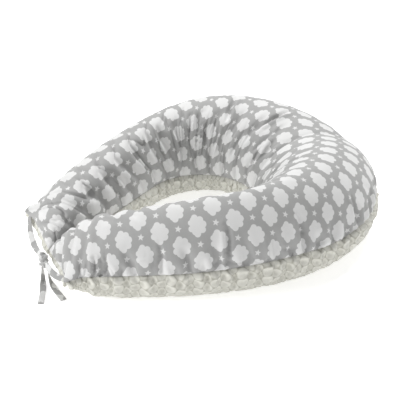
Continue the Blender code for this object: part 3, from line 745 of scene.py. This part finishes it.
def spring_sets(points, slack, lean):
    """Threads along, threads across and both diagonals. Each rest length is the length now, made longer by the slack
    in the direction of the compression: length squared + (2 slack + slack squared) (direction . thread) squared."""
    n, m = points.shape[:2]
    sets = []
    for di, dj, firm in ((1, 0, 0.5), (0, 1, 0.5), (1, 1, 0.18), (1, -1, 0.18)):
        for parity in (0, 1):
            if di:
                rows_a, rows_b = slice(parity, n - 1, 2), slice(parity + 1, n, 2)
                cols_a = slice(None) if dj == 0 else slice(0, m - 1) if dj > 0 else slice(1, m)
                cols_b = slice(None) if dj == 0 else slice(1, m) if dj > 0 else slice(0, m - 1)
            else:
                rows_a = rows_b = slice(None)
                cols_a, cols_b = slice(parity, m - 1, 2), slice(parity + 1, m, 2)
            a, b = (rows_a, cols_a), (rows_b, cols_b)
            sets.append((a, b, di, dj, firm))
    along_step = np.linalg.norm(np.gradient(points, axis=0), axis=2)
    across_step = np.linalg.norm(np.gradient(points, axis=1), axis=2)
    made = []
    for a, b, di, dj, firm in sets:
        length2 = ((points[b] - points[a]) ** 2).sum(-1)
        toward = di * along_step[a] * np.cos(lean[a]) + dj * across_step[a] * np.sin(lean[a])
        extra = 2 * slack[a] + slack[a] ** 2
        made.append((a, b, firm, np.sqrt(length2 + extra * toward**2)))
    return made


def let_wrinkle(points, slack, lean, stiff, swell, rounds, seed, floor=None):
    """Settles the cloth. Seams and arm ends stay where they are sewn."""
    rest, cloth = points.copy(), points.copy()
    free = np.ones(points.shape[:2])
    free[:, 0] = free[:, -1] = free[0] = free[-1] = 0
    springs = spring_sets(points, slack, lean)
    noise = np.random.default_rng(seed).normal(size=free.shape)
    noise = spread_out(noise, 1, 1)
    cloth += facing_out(rest) * (noise / noise.std() * 0.0006 * free)[..., None]
    before = cloth.copy()
    for number in range(rounds):
        moved = cloth - before
        before = cloth.copy()
        cloth += 0.85 * moved * free[..., None] + facing_out(cloth) * (swell * free)[..., None]
        for a, b, firm, length in springs:
            gap = cloth[b] - cloth[a]
            now = np.sqrt((gap * gap).sum(-1))
            gap *= (firm * (1 - length / np.maximum(now, 1e-9)) / (free[a] + free[b] + 1e-9))[..., None]
            cloth[a] += gap * free[a][..., None]
            cloth[b] -= gap * free[b][..., None]
        bulge = cloth - rest
        bend = bulge - spread_out(bulge, 1, 1)
        cloth -= stiff * (bend - spread_out(bend, 1, 1)) * free[..., None]
        cloth -= 0.25 * spread_out(cloth - rest, 6) * free[..., None]
        if floor is not None:
            cloth[..., 2] = np.maximum(cloth[..., 2], floor)
    bulge = cloth - rest
    far = np.linalg.norm(bulge, axis=2, keepdims=True)
    return rest + bulge * (MOST_MOVED * np.tanh(far / MOST_MOVED) / np.maximum(far, 1e-9))


ROUNDS = 260
MOST_MOVED = 0.0085


def distances(points):
    """How far each point lies from the outer seam and from the waist seam, along its row of threads."""
    run = np.concatenate([np.zeros((len(points), 1)), np.cumsum(np.linalg.norm(np.diff(points, axis=1), axis=2), 1)], 1)
    return run, run[:, -1:] - run


print("rounds of settling:", ROUNDS)

# %% Wrinkle the printed top


def top_slack():
    """How much too long the cloth is, from 0 to about a sixth, and how far its pleats lean from straight across."""
    from_outer, from_waist = distances(top_smooth)
    place = np.broadcast_to(ALONG[:, None], from_outer.shape)
    inner = np.exp(-(((from_waist - 0.078) / 0.060) ** 2))
    near_waist = np.exp(-((from_waist / 0.020) ** 2))
    near_outer = np.exp(-((from_outer / 0.030) ** 2))
    uneven = spread_out(np.random.default_rng(4).normal(size=place.shape), 7)
    uneven = 1 + 0.35 * uneven / uneven.std()
    back = 1 - 0.40 * np.exp(-((place / 0.45) ** 2))
    slack = (0.145 * inner * back + 0.05 * near_waist + 0.19 * near_outer + 0.012) * np.clip(uneven, 0.2, 1.8)
    lean = np.sign(place) * np.radians(38) * smooth_step((np.abs(place) - 0.35) / 0.8) * inner
    return slack, lean


slack, lean = top_slack()
top_cloth = let_wrinkle(top_smooth, slack, lean, 0.075, 4e-5, ROUNDS, 11)
print("the top moved", round(float(np.linalg.norm(top_cloth - top_smooth, axis=2).max()) * 1000, 1), "mm at most")

# %% Wrinkle the plush underside


def under_slack():
    from_outer, from_waist = distances(under_smooth)
    near = np.exp(-((from_outer / 0.040) ** 2)) + np.exp(-((from_waist / 0.045) ** 2))
    uneven = spread_out(np.random.default_rng(9).normal(size=near.shape), 6)
    return 0.19 * near * np.clip(1 + 0.4 * uneven / uneven.std(), 0.1, 2.0) + 0.004, np.zeros_like(near)


slack, lean = under_slack()
under_cloth = let_wrinkle(under_smooth, slack, lean, 0.13, 4e-5, ROUNDS, 5, floor=0.0004)
under_moved = float(np.linalg.norm(under_cloth - under_smooth, axis=2).max())
print("the underside moved", round(under_moved * 1000, 1), "mm at most")

# %% Make a finer grid


def finer(points):
    """Twice as many cells each way: a new point is (9 of its two neighbours - 1 of the next two) / 16."""
    for axis in (0, 1):
        p = np.moveaxis(points, axis, 0)
        ends = np.concatenate([2 * p[:1] - p[1:2], p, 2 * p[-1:] - p[-2:-1]])
        middle = (9 * (ends[1:-2] + ends[2:-1]) - ends[:-3] - ends[3:]) / 16
        out = np.empty((2 * len(p) - 1, *p.shape[1:]))
        out[::2], out[1::2] = p, middle
        points = np.moveaxis(out, 0, axis)
    return points


def cover_panel(name, outside, uv, smooth, material, node):
    """A closed piece of cloth: the wrinkled outside, a plain inside a few millimetres deeper, and the rim between."""
    rows, columns = outside.shape[:2]
    pick = np.linspace(0, columns - 1, 9).round().astype(int)
    inside = smooth[:, pick]
    points = np.concatenate([outside.reshape(-1, 3), inside.reshape(-1, 3)])
    faces = grid_quads(rows, columns)[:, ::-1]
    under = grid_quads(rows, 9) + rows * columns
    a, b = outside.shape[1], 9
    i = np.arange(rows - 1)
    first = np.stack([i * a, (i + 1) * a, rows * a + (i + 1) * b, rows * a + i * b], 1)[:, ::-1]
    last = np.stack([i * a + a - 1, (i + 1) * a + a - 1, rows * a + (i + 1) * b + b - 1, rows * a + i * b + b - 1], 1)
    faces = [*faces.tolist(), *under.tolist(), *first.tolist(), *last.tolist()]
    for row, flip in ((0, False), (rows - 1, True)):
        for k in range(8):
            strip = [row * a + j for j in range(pick[k], pick[k + 1] + 1)]
            fan = strip + [rows * a + row * b + k + 1, rows * a + row * b + k]
            faces.append(fan[::-1] if flip else fan)
    full_uv = np.concatenate([uv.reshape(-1, 2), uv[:, pick].reshape(-1, 2)])
    piece = new_piece(name, points, faces, material, full_uv)
    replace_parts(piece, node)
    return piece


def seam_tuck(points, other_side):
    """Draws the cloth in along its edges, as the stitches do: 2.6 mm at the seam, falling away within 3 mm."""
    from_outer, from_waist = distances(points)
    inward = other_side - points
    inward[..., 2] = 0
    inward /= np.maximum(np.linalg.norm(inward, axis=2, keepdims=True), 1e-9)
    place = np.interp(np.linspace(0, 1, len(points)), np.linspace(0, 1, COLUMNS), ALONG)[:, None]
    open_zip = (slot_lift(np.abs(place)) * (place < 0)) / (ZIP_SLOT / 2)
    pull_outer = 0.0026 * np.exp(-((from_outer / 0.003) ** 2)) * (1 - open_zip)
    pull_waist = 0.0020 * np.exp(-((from_waist / 0.003) ** 2)) * smooth_step((1.75 - np.abs(place)) / 0.1)
    return points + inward * (pull_outer + pull_waist)[..., None]


def across_ring(points):
    """For every point of a row, the far edge it faces: the waist seam for its outer half, the outer seam for the
    rest."""
    n = points.shape[1]
    far = np.repeat(points[:, -1:], n, axis=1)
    far[:, n // 2 :] = points[:, :1]
    return far


# %% [markdown]
# ## Sharp creases and a few large folds
# The springs are 4 mm apart and can't make a crease that is 2 mm wide. Finer creases are drawn on the finer grid. They
# lie where a slowly varying random field passes through zero: the field changes quickly across the creases and slowly
# along them. Single large folds, where the cloth was pushed in by hand, are valleys along a short line on the surface.

# %% Press in the fine creases


def field(across, along, seed):
    """A smooth random field: normal numbers at whole steps, and an eased mix of the four around every point."""
    table = np.random.default_rng(seed).normal(size=(257, 257))
    i, j = np.floor(across).astype(int), np.floor(along).astype(int)
    u, v = smooth_step(across - i), smooth_step(along - j)
    pick = lambda di, dj: table[(i + di) % 257, (j + dj) % 257]
    return (pick(0, 0) * (1 - u) + pick(1, 0) * u) * (1 - v) + (pick(0, 1) * (1 - u) + pick(1, 1) * u) * v


def press_creases(points, zone, spacing, length, depth, tilt, seed):
    """Valleys of this depth where the field is near zero: 1 - 3.2 |field|, to the power 1.3, and nothing where that is
    less than zero. tilt turns them away from straight across the ring."""
    middle = points.shape[1] // 2
    run = np.concatenate([[0], np.cumsum(np.linalg.norm(np.diff(points[:, middle], axis=0), axis=1))])[:, None]
    from_outer, _ = distances(points)
    aside = from_outer - from_outer[:, middle : middle + 1]
    value = field((run * np.cos(tilt) + aside * np.sin(tilt)) / spacing, aside / length + 50, seed)
    valley = np.maximum(1 - 3.2 * np.abs(value), 0) ** 1.3
    soft = field((run * np.cos(tilt) + aside * np.sin(tilt)) / spacing / 1.7, aside / length + 90, seed + 1)
    move = zone * depth * (0.30 * soft - valley)
    return points + facing_out(spread_out(points, 1, 1)) * move[..., None]


def place_of(points):
    return np.interp(np.linspace(0, 1, len(points)), np.linspace(0, 1, COLUMNS), ALONG)[:, None]


def crease_top(points):
    from_outer, from_waist = distances(points)
    place = place_of(points)
    ends = smooth_step(np.minimum(from_outer, from_waist) / 0.004) * smooth_step((2 - np.abs(place)) / 0.06)
    inner = np.exp(-(((from_waist - 0.082) / 0.046) ** 2)) * (0.45 + 0.55 * smooth_step((-place - 0.3) / 0.3))
    tilt = np.sign(place) * np.radians(38) * smooth_step((np.abs(place) - 0.35) / 0.8)
    points = press_creases(points, inner * ends, 0.0125, 0.100, 0.0058, tilt, 21)
    return press_creases(points, np.exp(-((from_outer / 0.034) ** 2)) * ends, 0.019, 0.060, 0.0034, 0.0 * tilt, 31)


top_fine, top_uv = crease_top(finer(top_cloth)), finer(top_flat)
print("creased the top, whose grid is now", top_fine.shape[:2])

# %% Fold the cloth in where it was pressed
# A fold's line, its depth and its width. Depth below zero makes a ridge.
FOLDS = [
    ([(-0.270, 0.43), (-0.260, 0.50), (-0.275, 0.57), (-0.300, 0.64)], 0.0097, 0.0045),
    ([(-0.633, 0.48), (-0.600, 0.57), (-0.570, 0.64)], 0.0077, 0.0040),
    ([(-0.170, 0.58), (-0.106, 0.68), (-0.076, 0.77), (-0.090, 0.86)], -0.0064, 0.0055),
    ([(1.880, 0.22), (1.900, 0.03)], 0.0064, 0.0030),
    ([(1.835, 0.20), (1.853, 0.03)], 0.0054, 0.0028),
    ([(1.610, 0.22), (1.632, 0.04)], 0.0042, 0.0036),
    ([(1.320, 0.28), (1.356, 0.13), (1.368, 0.03)], 0.0064, 0.0042),
    ([(1.030, 0.24), (1.052, 0.04)], 0.0051, 0.0040),
    ([(-0.900, 0.60), (-0.860, 0.74)], 0.0058, 0.0034),
    ([(0.700, 0.20), (0.716, 0.04)], 0.0048, 0.0040),
    ([(-1.500, 0.20), (-1.520, 0.03)], 0.0054, 0.0036),
]


def fold_in(points, line, depth, width):
    """A valley along a line: minus a bell of the distance to it, with a low swell on one side, and fading at its tips.
    Each knot of the line is a place along the ring and a share of the way over the cloth."""
    n, m = points.shape[:2]
    place = place_of(points)[:, 0]
    knots = np.array([(np.interp(a, place, np.arange(n)), share * (m - 1)) for a, share in line])
    t = np.linspace(0, len(knots) - 1, 60)
    at = np.stack([np.interp(t, np.arange(len(knots)), knots[:, k]) for k in (0, 1)], 1)
    track = points[at[:, 0].round().astype(int), at[:, 1].round().astype(int)]
    low = max(int(at[:, 0].min()) - 30, 0)
    part = points[low : int(at[:, 0].max()) + 30]
    gap = part[:, :, None] - track
    far = np.linalg.norm(gap, axis=3)
    nearest = far.argmin(2)
    d = np.take_along_axis(far, nearest[..., None], 2)[..., 0]
    columns = np.arange(low, low + len(part))[:, None]
    side = np.sign(columns - at[nearest, 0])
    fade = np.sin(np.pi * np.clip((nearest + 4) / 67, 0, 1)) ** 0.6
    shape = -np.exp(-((d / width) ** 2)) + 0.45 * np.exp(-(((d * side - 2.1 * width) / (1.3 * width)) ** 2))
    moved = part + facing_out(spread_out(part, 2, 1)) * (depth * shape * fade)[..., None]
    moved[:, 0], moved[:, -1] = part[:, 0], part[:, -1]
    out = points.copy()
    out[low : low + len(part)] = moved
    return out


for line, depth, width in FOLDS:
    top_fine = fold_in(top_fine, line, depth, width)
top_fine = seam_tuck(top_fine, across_ring(top_fine))
print(len(FOLDS), "folds")

# %% Sew up the top panel
top_inside = finer(layer(True, ALONG[:, None], TOP_PHI[None, :], 0.0105))
top_panel = cover_panel("cover_top", top_fine, top_uv, top_inside, print_cotton, "cover_top_panel")
print("top panel:", len(top_panel.data.polygons), "faces")

# %% [markdown]
# ## Plush with raised dots
# The underside is a short plush, pressed from the back so that soft round dots stand up from it in staggered rows. A
# dot is 2 cm wide at its foot and 5 mm high. That is large enough to change the outline, so it is real height in the
# mesh. The cloth between the dots is sunk by the dots' height, and so their tops lie where the solid's surface was, on
# the floor. The finish adds what is too small for the mesh: a nap that catches light, and painted shade between the
# dots.

# %% Raise the dots
DOT_PITCH, DOT_ROWS, DOT_HEIGHT, DOT_RADIUS = 0.0190, 0.0165, 0.0052, 0.0100


def from_dot(x, y, whole):
    """Offsets to the nearest points of two rectangular lattices, half a cell apart. The shorter one leads to the
    nearest dot."""
    found = []
    for shift in (0.0, 0.5):
        u, v = x / DOT_PITCH + shift, y / (2 * DOT_ROWS) + shift
        found.append(((u - whole(u)) * DOT_PITCH, (v - whole(v)) * (2 * DOT_ROWS)))
    return found


def raise_dots(points, flat, smooth):
    """Height of a dot: half of 1 + cos(pi r / radius), as round on top as in the hollows; what lies between is sunk."""
    pairs = from_dot(flat[..., 0], flat[..., 1], np.round)
    r = np.minimum(*(np.hypot(dx, dy) for dx, dy in pairs))
    dome = (1 + np.cos(np.pi * np.minimum(r / DOT_RADIUS, 1))) / 2
    from_outer, from_waist = distances(smooth)
    ends = np.minimum(np.arange(len(points)), np.arange(len(points))[::-1])[:, None] / 6
    hold = smooth_step(from_outer / 0.006) * smooth_step(from_waist / 0.006) * smooth_step(ends)
    out = facing_out(spread_out(points, 2, 1))
    return points + out * ((dome - 1) * DOT_HEIGHT * hold)[..., None]


def gather_plush(points):
    """Plush is thick, so its gathers are wide: valleys 2 cm apart that run a few centimetres from each seam."""
    from_outer, from_waist = distances(points)
    near = np.exp(-((from_outer / 0.034) ** 2)) + np.exp(-((from_waist / 0.034) ** 2))
    ends = smooth_step(np.minimum(from_outer, from_waist) / 0.005) * smooth_step((2 - np.abs(place_of(points))) / 0.06)
    return press_creases(points, near * ends, 0.019, 0.045, 0.0030, 0.0, 41)


under_fine, under_uv = gather_plush(finer(under_cloth)), finer(under_flat)
under_fine = seam_tuck(raise_dots(under_fine, under_uv, under_fine), across_ring(under_fine))
under_fine[..., 2] = np.maximum(under_fine[..., 2], 0.0002)
cut_square = float(np.ptp(under_uv[..., 0]) * np.ptp(under_uv[..., 1]))
print("dots:", round(cut_square / DOT_PITCH / DOT_ROWS), "on the cut square")

# %% A napped finish


def dimple_plush_finish():
    """Short nap: a soft sheen at the edges, painted shade in the hollows between dots, darker and warmer, and fine
    fuzz.
    """
    finish = Finish("dimple_plush", Roughness=1.0, Sheen_Weight=0.35, Sheen_Roughness=0.45, Specular_IOR_Level=0.1)
    at = finish.here("cloth")
    x, y = finish.parts(at)
    reach = None
    for dx, dy in from_dot(x, y, lambda v: v.nearest()):
        r = finish.add("ShaderNodeVectorMath", {"operation": "LENGTH"}, finish.point(dx, dy), out=1)
        reach = r if reach is None else reach.least(r)
    # Painted shade: the colour darkens where the cloth lies farthest from the dots, in the hollows between them.
    hollow_shade = ((reach / DOT_RADIUS - 0.78) * 3.2).math("MAXIMUM", 0.0).math("MINIMUM", 1.0)
    fuzz, clump = finish.noise(at, 1400.0, 2.0), finish.noise(at, 220.0, 3.0)
    stroke = finish.noise(at, 9.0, 2.0)
    shade = hollow_shade * 0.80 + (clump - 0.5) * 0.55 + (fuzz - 0.5) * 0.25 + (stroke - 0.5) * 0.35
    # The darker, warmer colour is painted shade in the hollows, mixed with random tone from the noises.
    colour = finish.mix(shade.math("MAXIMUM", 0.0).math("MINIMUM", 1.0), (0.66, 0.655, 0.60), (0.26, 0.255, 0.205))
    tilt = finish.bump(clump * 0.7 + fuzz * 0.3, 0.0014, 1.0)
    return finish.shade(Base_Color=colour, Normal=tilt)


dimple_plush = dimple_plush_finish()
under_inside = finer(layer(False, ALONG[:, None], UNDER_PHI[None, :], 0.0105))
under_panel = cover_panel(
    "cover_underside", under_fine, under_uv, under_inside, dimple_plush, "cover_bottom_panel")
print("underside panel:", len(under_panel.data.polygons), "faces")

# %% [markdown]
# ## Inside the cover
# The stuffing is polyester fibre in its own cotton casing, which stays in the cover unless it is washed. Neither shows
# from outside, but both are there when the zip is opened. They are the ring's own layers, 12 and 16 mm further in.

# %% Casing and fibre
CASING_INSET, FIBRE_INSET = 0.0120, 0.0160


def plain_cloth(name, low, high, thread):
    """Undyed cotton: two sets of threads and a few thicker ones."""
    finish = Finish(name, Roughness=0.95, Sheen_Weight=0.1)
    at = finish.here("cloth")
    x, y = finish.parts(at)
    weave = (x * (2 * math.pi / thread)).math("SINE") * (y * (2 * math.pi / thread)).math("SINE") * 0.5 + 0.5
    slub = finish.noise(at, 120.0, 3.0)
    colour = finish.mix(slub * 0.7 + weave * 0.3, low, high)
    return finish.shade(Base_Color=colour, Normal=finish.bump(weave, 0.0003, 0.5))


def fibre_finish():
    finish = Finish("fibre", Roughness=1.0, Sheen_Weight=0.3)
    at = finish.here()
    tuft, hair = finish.noise(at, 45.0, 4.0, 0.65), finish.noise(at, 600.0, 2.0)
    colour = finish.mix(tuft * 0.7 + hair * 0.3, (0.72, 0.72, 0.70), (0.92, 0.92, 0.90))
    return finish.shade(Base_Color=colour, Normal=finish.bump(tuft * 0.8 + hair * 0.2, 0.002, 0.8))


def closed_ring(name, inset, lumps, material, columns, rows):
    """Top and underside of the ring in one closed skin; lumps is how far the surface swells and sinks, at random."""
    pick = np.linspace(0, COLUMNS - 1, columns).round().astype(int)
    along = ALONG[pick][:, None]
    phi = np.linspace(0, math.pi, rows)
    over = layer(True, along, phi[None, :], inset)
    below = layer(False, along, phi[None, ::-1][:, 1:-1], inset)
    ring = np.concatenate([over, below], axis=1)
    lump = spread_out(np.random.default_rng(3).normal(size=ring.shape[:2]), 1)
    lump[[0, -1]] = 0
    outward = facing_out(ring)
    ring = ring + outward * (lump / lump.std() * lumps)[..., None]
    ring[..., 2] = np.maximum(ring[..., 2], inset * 0.8)
    run = np.cumsum(np.full(columns, 0.0046))[:, None]
    uv = np.stack(np.broadcast_arrays(run, np.arange(ring.shape[1]) * 0.005), -1)
    faces = grid_quads(*ring.shape[:2], closed=True)[:, ::-1].tolist()
    piece = new_piece(name, ring, faces, material, uv)
    mend_mesh(piece, merge=1e-5, fill=True)
    return piece


casing_cotton = plain_cloth("casing_cotton", (0.70, 0.69, 0.66), (0.84, 0.83, 0.80), 0.0012)
casing = closed_ring("inner_casing", CASING_INSET, 0.0, casing_cotton, 161, 25)
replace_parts(casing, "inner_casing_top", "inner_casing_bottom")
fibre = closed_ring("fibre_stuffing", FIBRE_INSET, 0.0007, fibre_finish(), 121, 21)
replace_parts(fibre, "fibre_filling")
print("casing and fibre:", len(casing.data.polygons), "and", len(fibre.data.polygons), "faces")

# %% [markdown]
# ## The zip
# The zip is a coil zip: a nylon thread is wound into a spiral along each tape, and the slider presses the two spirals
# into each other. A spiral is a circle whose middle moves along the seam. Turning it half a pitch further on the second
# tape lets its loops lie between those of the first.

# %% Wind the coils
COIL_DIAMETER, COIL_PITCH, COIL_THREAD = 0.0014, 0.0015, 0.00021


def coil(name, node, phase):
    """A flattened spiral. Its middle lies at the height of the solid it stands for."""
    box_low, box_high = (np.array(v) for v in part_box(node))
    middle = (box_low[2] + box_high[2]) / 2
    corner = np.array([v.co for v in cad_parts[node].data.vertices])
    radius = float(np.hypot(corner[:, 0], corner[:, 1] - BACK_CENTRE_Y).mean())
    angles = np.arctan2(-corner[:, 0], corner[:, 1] - BACK_CENTRE_Y)
    start, end = float(angles.min()), float(angles.max())
    turns = int((end - start) * radius / COIL_PITCH)
    t = np.linspace(0, turns, turns * 10 + 1)
    round_loop = 2 * np.pi * t + phase
    angle = start + (end - start) * t / turns
    reach = COIL_DIAMETER / 2 - COIL_THREAD
    r = radius + reach * 0.9 * np.cos(round_loop)
    rise = middle + reach * 1.15 * np.sin(round_loop)
    line = np.stack([-r * np.sin(angle), BACK_CENTRE_Y + r * np.cos(angle), rise], 1)
    ahead = np.gradient(line, axis=0)
    ahead /= np.linalg.norm(ahead, axis=1, keepdims=True)
    aside = np.cross(ahead, (0.0, 0.0, 1.0))
    aside /= np.maximum(np.linalg.norm(aside, axis=1, keepdims=True), 1e-9)
    above = np.cross(aside, ahead)
    a = np.linspace(0, 2 * np.pi, 5, endpoint=False)
    rings = line[:, None] + (aside[:, None] * np.cos(a)[:, None] + above[:, None] * np.sin(a)[:, None]) * COIL_THREAD
    faces = grid_quads(len(line), 5, closed=True).tolist()
    faces += [[4, 3, 2, 1, 0], [5 * (len(line) - 1) + k for k in range(5)]]
    piece = new_piece(name, rings, faces, zip_nylon)
    mend_mesh(piece)
    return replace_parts(piece, node)


def nylon_finish(name, colour):
    finish = Finish(name, Roughness=0.4, Coat_Weight=0.1)
    cloudy = finish.noise(finish.here(), 300.0, 2.0)
    dark = tuple(c * 0.85 for c in colour)
    return finish.shade(Base_Color=finish.mix(cloudy, dark, colour), Roughness=cloudy * 0.15 + 0.33)


zip_nylon = nylon_finish("zip_nylon", (0.72, 0.72, 0.71))
coils = [
    coil("zip_coil_upper_wound", "zip_coil_upper", 0.0),
    coil("zip_coil_lower_wound", "zip_coil_lower", math.pi),
]
print("coils:", [len(c.data.polygons) for c in coils], "faces")

# %% Finish the tapes and the metal


def tape_finish():
    """Zip tape: a herringbone of fine threads that run along it."""
    finish = Finish("zip_tape_weave", Roughness=0.85, Sheen_Weight=0.15)
    at = finish.here()
    spread = finish.add("ShaderNodeTexWave", {"bands_direction": "Z"}, at, Scale=420.0, Distortion=1.5, Detail=2.0)
    slub = finish.noise(at, 400.0, 2.0)
    return finish.shade(Base_Color=finish.mix(spread * 0.6 + slub * 0.4, (0.55, 0.55, 0.54), (0.74, 0.74, 0.73)),
                        Normal=finish.bump(spread, 0.0002, 0.5))


def metal_finish():
    """Die-cast and plated: bright, with a faint grain and duller patches where fingers rub."""
    finish = Finish("zip_metal", Metallic=1.0, Roughness=0.3)
    at = finish.here()
    grain, rubbed = finish.noise(at, 900.0, 3.0), finish.noise(at, 160.0, 2.0)
    return finish.shade(Base_Color=finish.mix(rubbed, (0.58, 0.58, 0.58), (0.74, 0.74, 0.73)),
                        Roughness=grain * 0.16 + rubbed * 0.12 + 0.18, Normal=finish.bump(grain, 0.00003, 0.4))


def refinish(node, material):
    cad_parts[node].data.materials.clear()
    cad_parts[node].data.materials.append(material)


tape, metal = tape_finish(), metal_finish()
for node in ("zip_tape_upper", "zip_tape_lower"):
    refinish(node, tape)
for node in ("zip_top_stop", "zip_bottom_stop", "zip_slider", "zip_pull_tab"):
    refinish(node, metal)
print("finished six zip parts in", tape.name, "and", metal.name)

# %% [markdown]
# ## Stitches and the label
# Two rows of stitches hold the zip: one on each panel, 3 mm from its edge. A stitch is a short round bar that dips into
# the cloth at both ends. The care label is a blank strip of satin that is caught in the outer seam and lies against the
# underside. Here it is a sheet of two skins, with a fine woven border and no words on it.

# %% Stitch the zip in
STITCH_LENGTH, STITCH_PITCH, STITCH_THREAD = 0.0026, 0.0033, 0.00032


def stitches(name, points, aside, low, high):
    """Bars along one row of a panel between two places of the ring. A bar's middle line is a shallow arch."""
    place = place_of(points)[:, 0]
    pick = np.where((place > low) & (place < high))[0]
    from_outer, _ = distances(points)
    rows = (from_outer[pick] < aside).sum(1)
    line, out = points[pick, rows], facing_out(spread_out(points, 2, 1))[pick, rows]
    run = np.concatenate([[0], np.cumsum(np.linalg.norm(np.diff(line, axis=0), axis=1))])
    starts = np.arange(0.001, run[-1] - STITCH_PITCH, STITCH_PITCH)
    t = np.linspace(0, 1, 5)
    at = starts[:, None] + t * STITCH_LENGTH
    sample = lambda values: np.stack([np.interp(at, run, values[:, k]) for k in range(3)], -1)
    normal = sample(out)
    centre = sample(line) + normal * ((np.sin(np.pi * t) - 0.55) * 0.0004)[:, None]
    ahead = np.gradient(centre, axis=1)
    ahead /= np.linalg.norm(ahead, axis=2, keepdims=True)
    aside_dir = np.cross(ahead, normal)
    a = np.linspace(0, 2 * np.pi, 6, endpoint=False)
    thick = STITCH_THREAD * np.sqrt(np.maximum(1 - (2 * t - 1) ** 4, 0.05))
    rings = centre[:, :, None] + thick[:, None, None] * (
        aside_dir[:, :, None] * np.cos(a)[:, None] + normal[:, :, None] * np.sin(a)[:, None])
    bar = grid_quads(5, 6, closed=True)
    quads = (bar[None] + (np.arange(len(starts)) * 30)[:, None, None]).reshape(-1, 4).tolist()
    for k in range(len(starts)):
        quads += [[30 * k + q for q in range(5, -1, -1)], [30 * k + 24 + q for q in range(6)]]
    piece = new_piece(name, rings, quads, thread)
    mend_mesh(piece)
    return piece, len(starts)


def thread_finish():
    finish = Finish("sewing_thread", Roughness=0.6, Sheen_Weight=0.2)
    twist = finish.add("ShaderNodeTexWave", {"bands_direction": "DIAGONAL"}, finish.here(), Scale=900.0, Distortion=0.5)
    colour = finish.mix(twist, (0.50, 0.50, 0.49), (0.66, 0.66, 0.65))
    return finish.shade(Base_Color=colour, Normal=finish.bump(twist, 0.0001, 0.4))


thread = thread_finish()
zip_from, zip_to = -(ZIP_START + ZIP_LENGTH / BACK_RADIUS) / (math.pi / 2), -ZIP_START / (math.pi / 2)
for name, points in (("zip_stitches_top", top_fine), ("zip_stitches_underside", under_fine)):
    piece, count = stitches(name, points, 0.0032, zip_from, zip_to)
    print(name, count, "stitches")

# %% Sew in the label
LABEL_WIDTH, LABEL_PLACE, LABEL_DROP = 0.025, 1.30, math.radians(40)


def satin_finish():
    """Satin: long shiny floats one way, and a slightly duller woven edge."""
    finish = Finish("label_satin", Roughness=0.42, Sheen_Weight=0.1, Specular_IOR_Level=0.6)
    at = finish.here("cloth")
    x, y = finish.parts(at)
    float_line = (x * (2 * math.pi / 0.0004)).math("SINE") * 0.5 + 0.5
    edge_line = (x.size() / LABEL_WIDTH - 0.44).math("GREATER_THAN", 0.0)
    patch = finish.noise(at, 160.0, 2.0)
    return finish.shade(Base_Color=finish.mix(edge_line * 0.5 + patch * 0.3, (0.82, 0.82, 0.82), (0.66, 0.66, 0.67)),
                        Normal=finish.bump(float_line, 0.00006, 0.5), Roughness=edge_line * 0.15 + patch * 0.08 + 0.36)


def label():
    """Outside and inside skins, 0.5 mm apart, in one closed loop over the drop, and a cap on either side."""
    length = ARM_EDGE_RADIUS * ARM_TURN * 1.6
    along = -np.linspace(LABEL_PLACE - LABEL_WIDTH / length / 2, LABEL_PLACE + LABEL_WIDTH / length / 2, 9)[:, None]
    phi = np.linspace(math.radians(2), LABEL_DROP, 19)
    curl = 0.0006 * np.sin(np.linspace(0, 1.3 * np.pi, 19)) ** 2
    outside = layer(False, along, phi[None, :], -0.0012)
    inside = layer(False, along, phi[None, :], -0.0006)
    out = outside - inside
    out /= np.linalg.norm(out, axis=2, keepdims=True)
    lift = (curl * np.linspace(-1, 1, 9)[:, None] ** 2)[..., None] * out
    loop = np.concatenate([outside + lift, (inside + lift)[:, ::-1]], 1)
    run = np.concatenate([[0], np.cumsum(np.linalg.norm(np.diff(outside[4], axis=0), axis=1))])
    across = np.linspace(-LABEL_WIDTH / 2, LABEL_WIDTH / 2, 9)
    uv = np.stack(np.broadcast_arrays(across[:, None], np.concatenate([run, run[::-1]])[None]), -1)
    faces = grid_quads(9, 38, closed=True).tolist() + [list(range(38))[::-1], [8 * 38 + k for k in range(38)]]
    piece = new_piece("care_label_satin", loop, faces, satin_finish(), uv)
    mend_mesh(piece)
    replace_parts(piece, "care_label")
    return piece, run[-1]


care, care_length = label()
print("label", round(LABEL_WIDTH * 1000), "by", round(care_length * 1000), "mm")
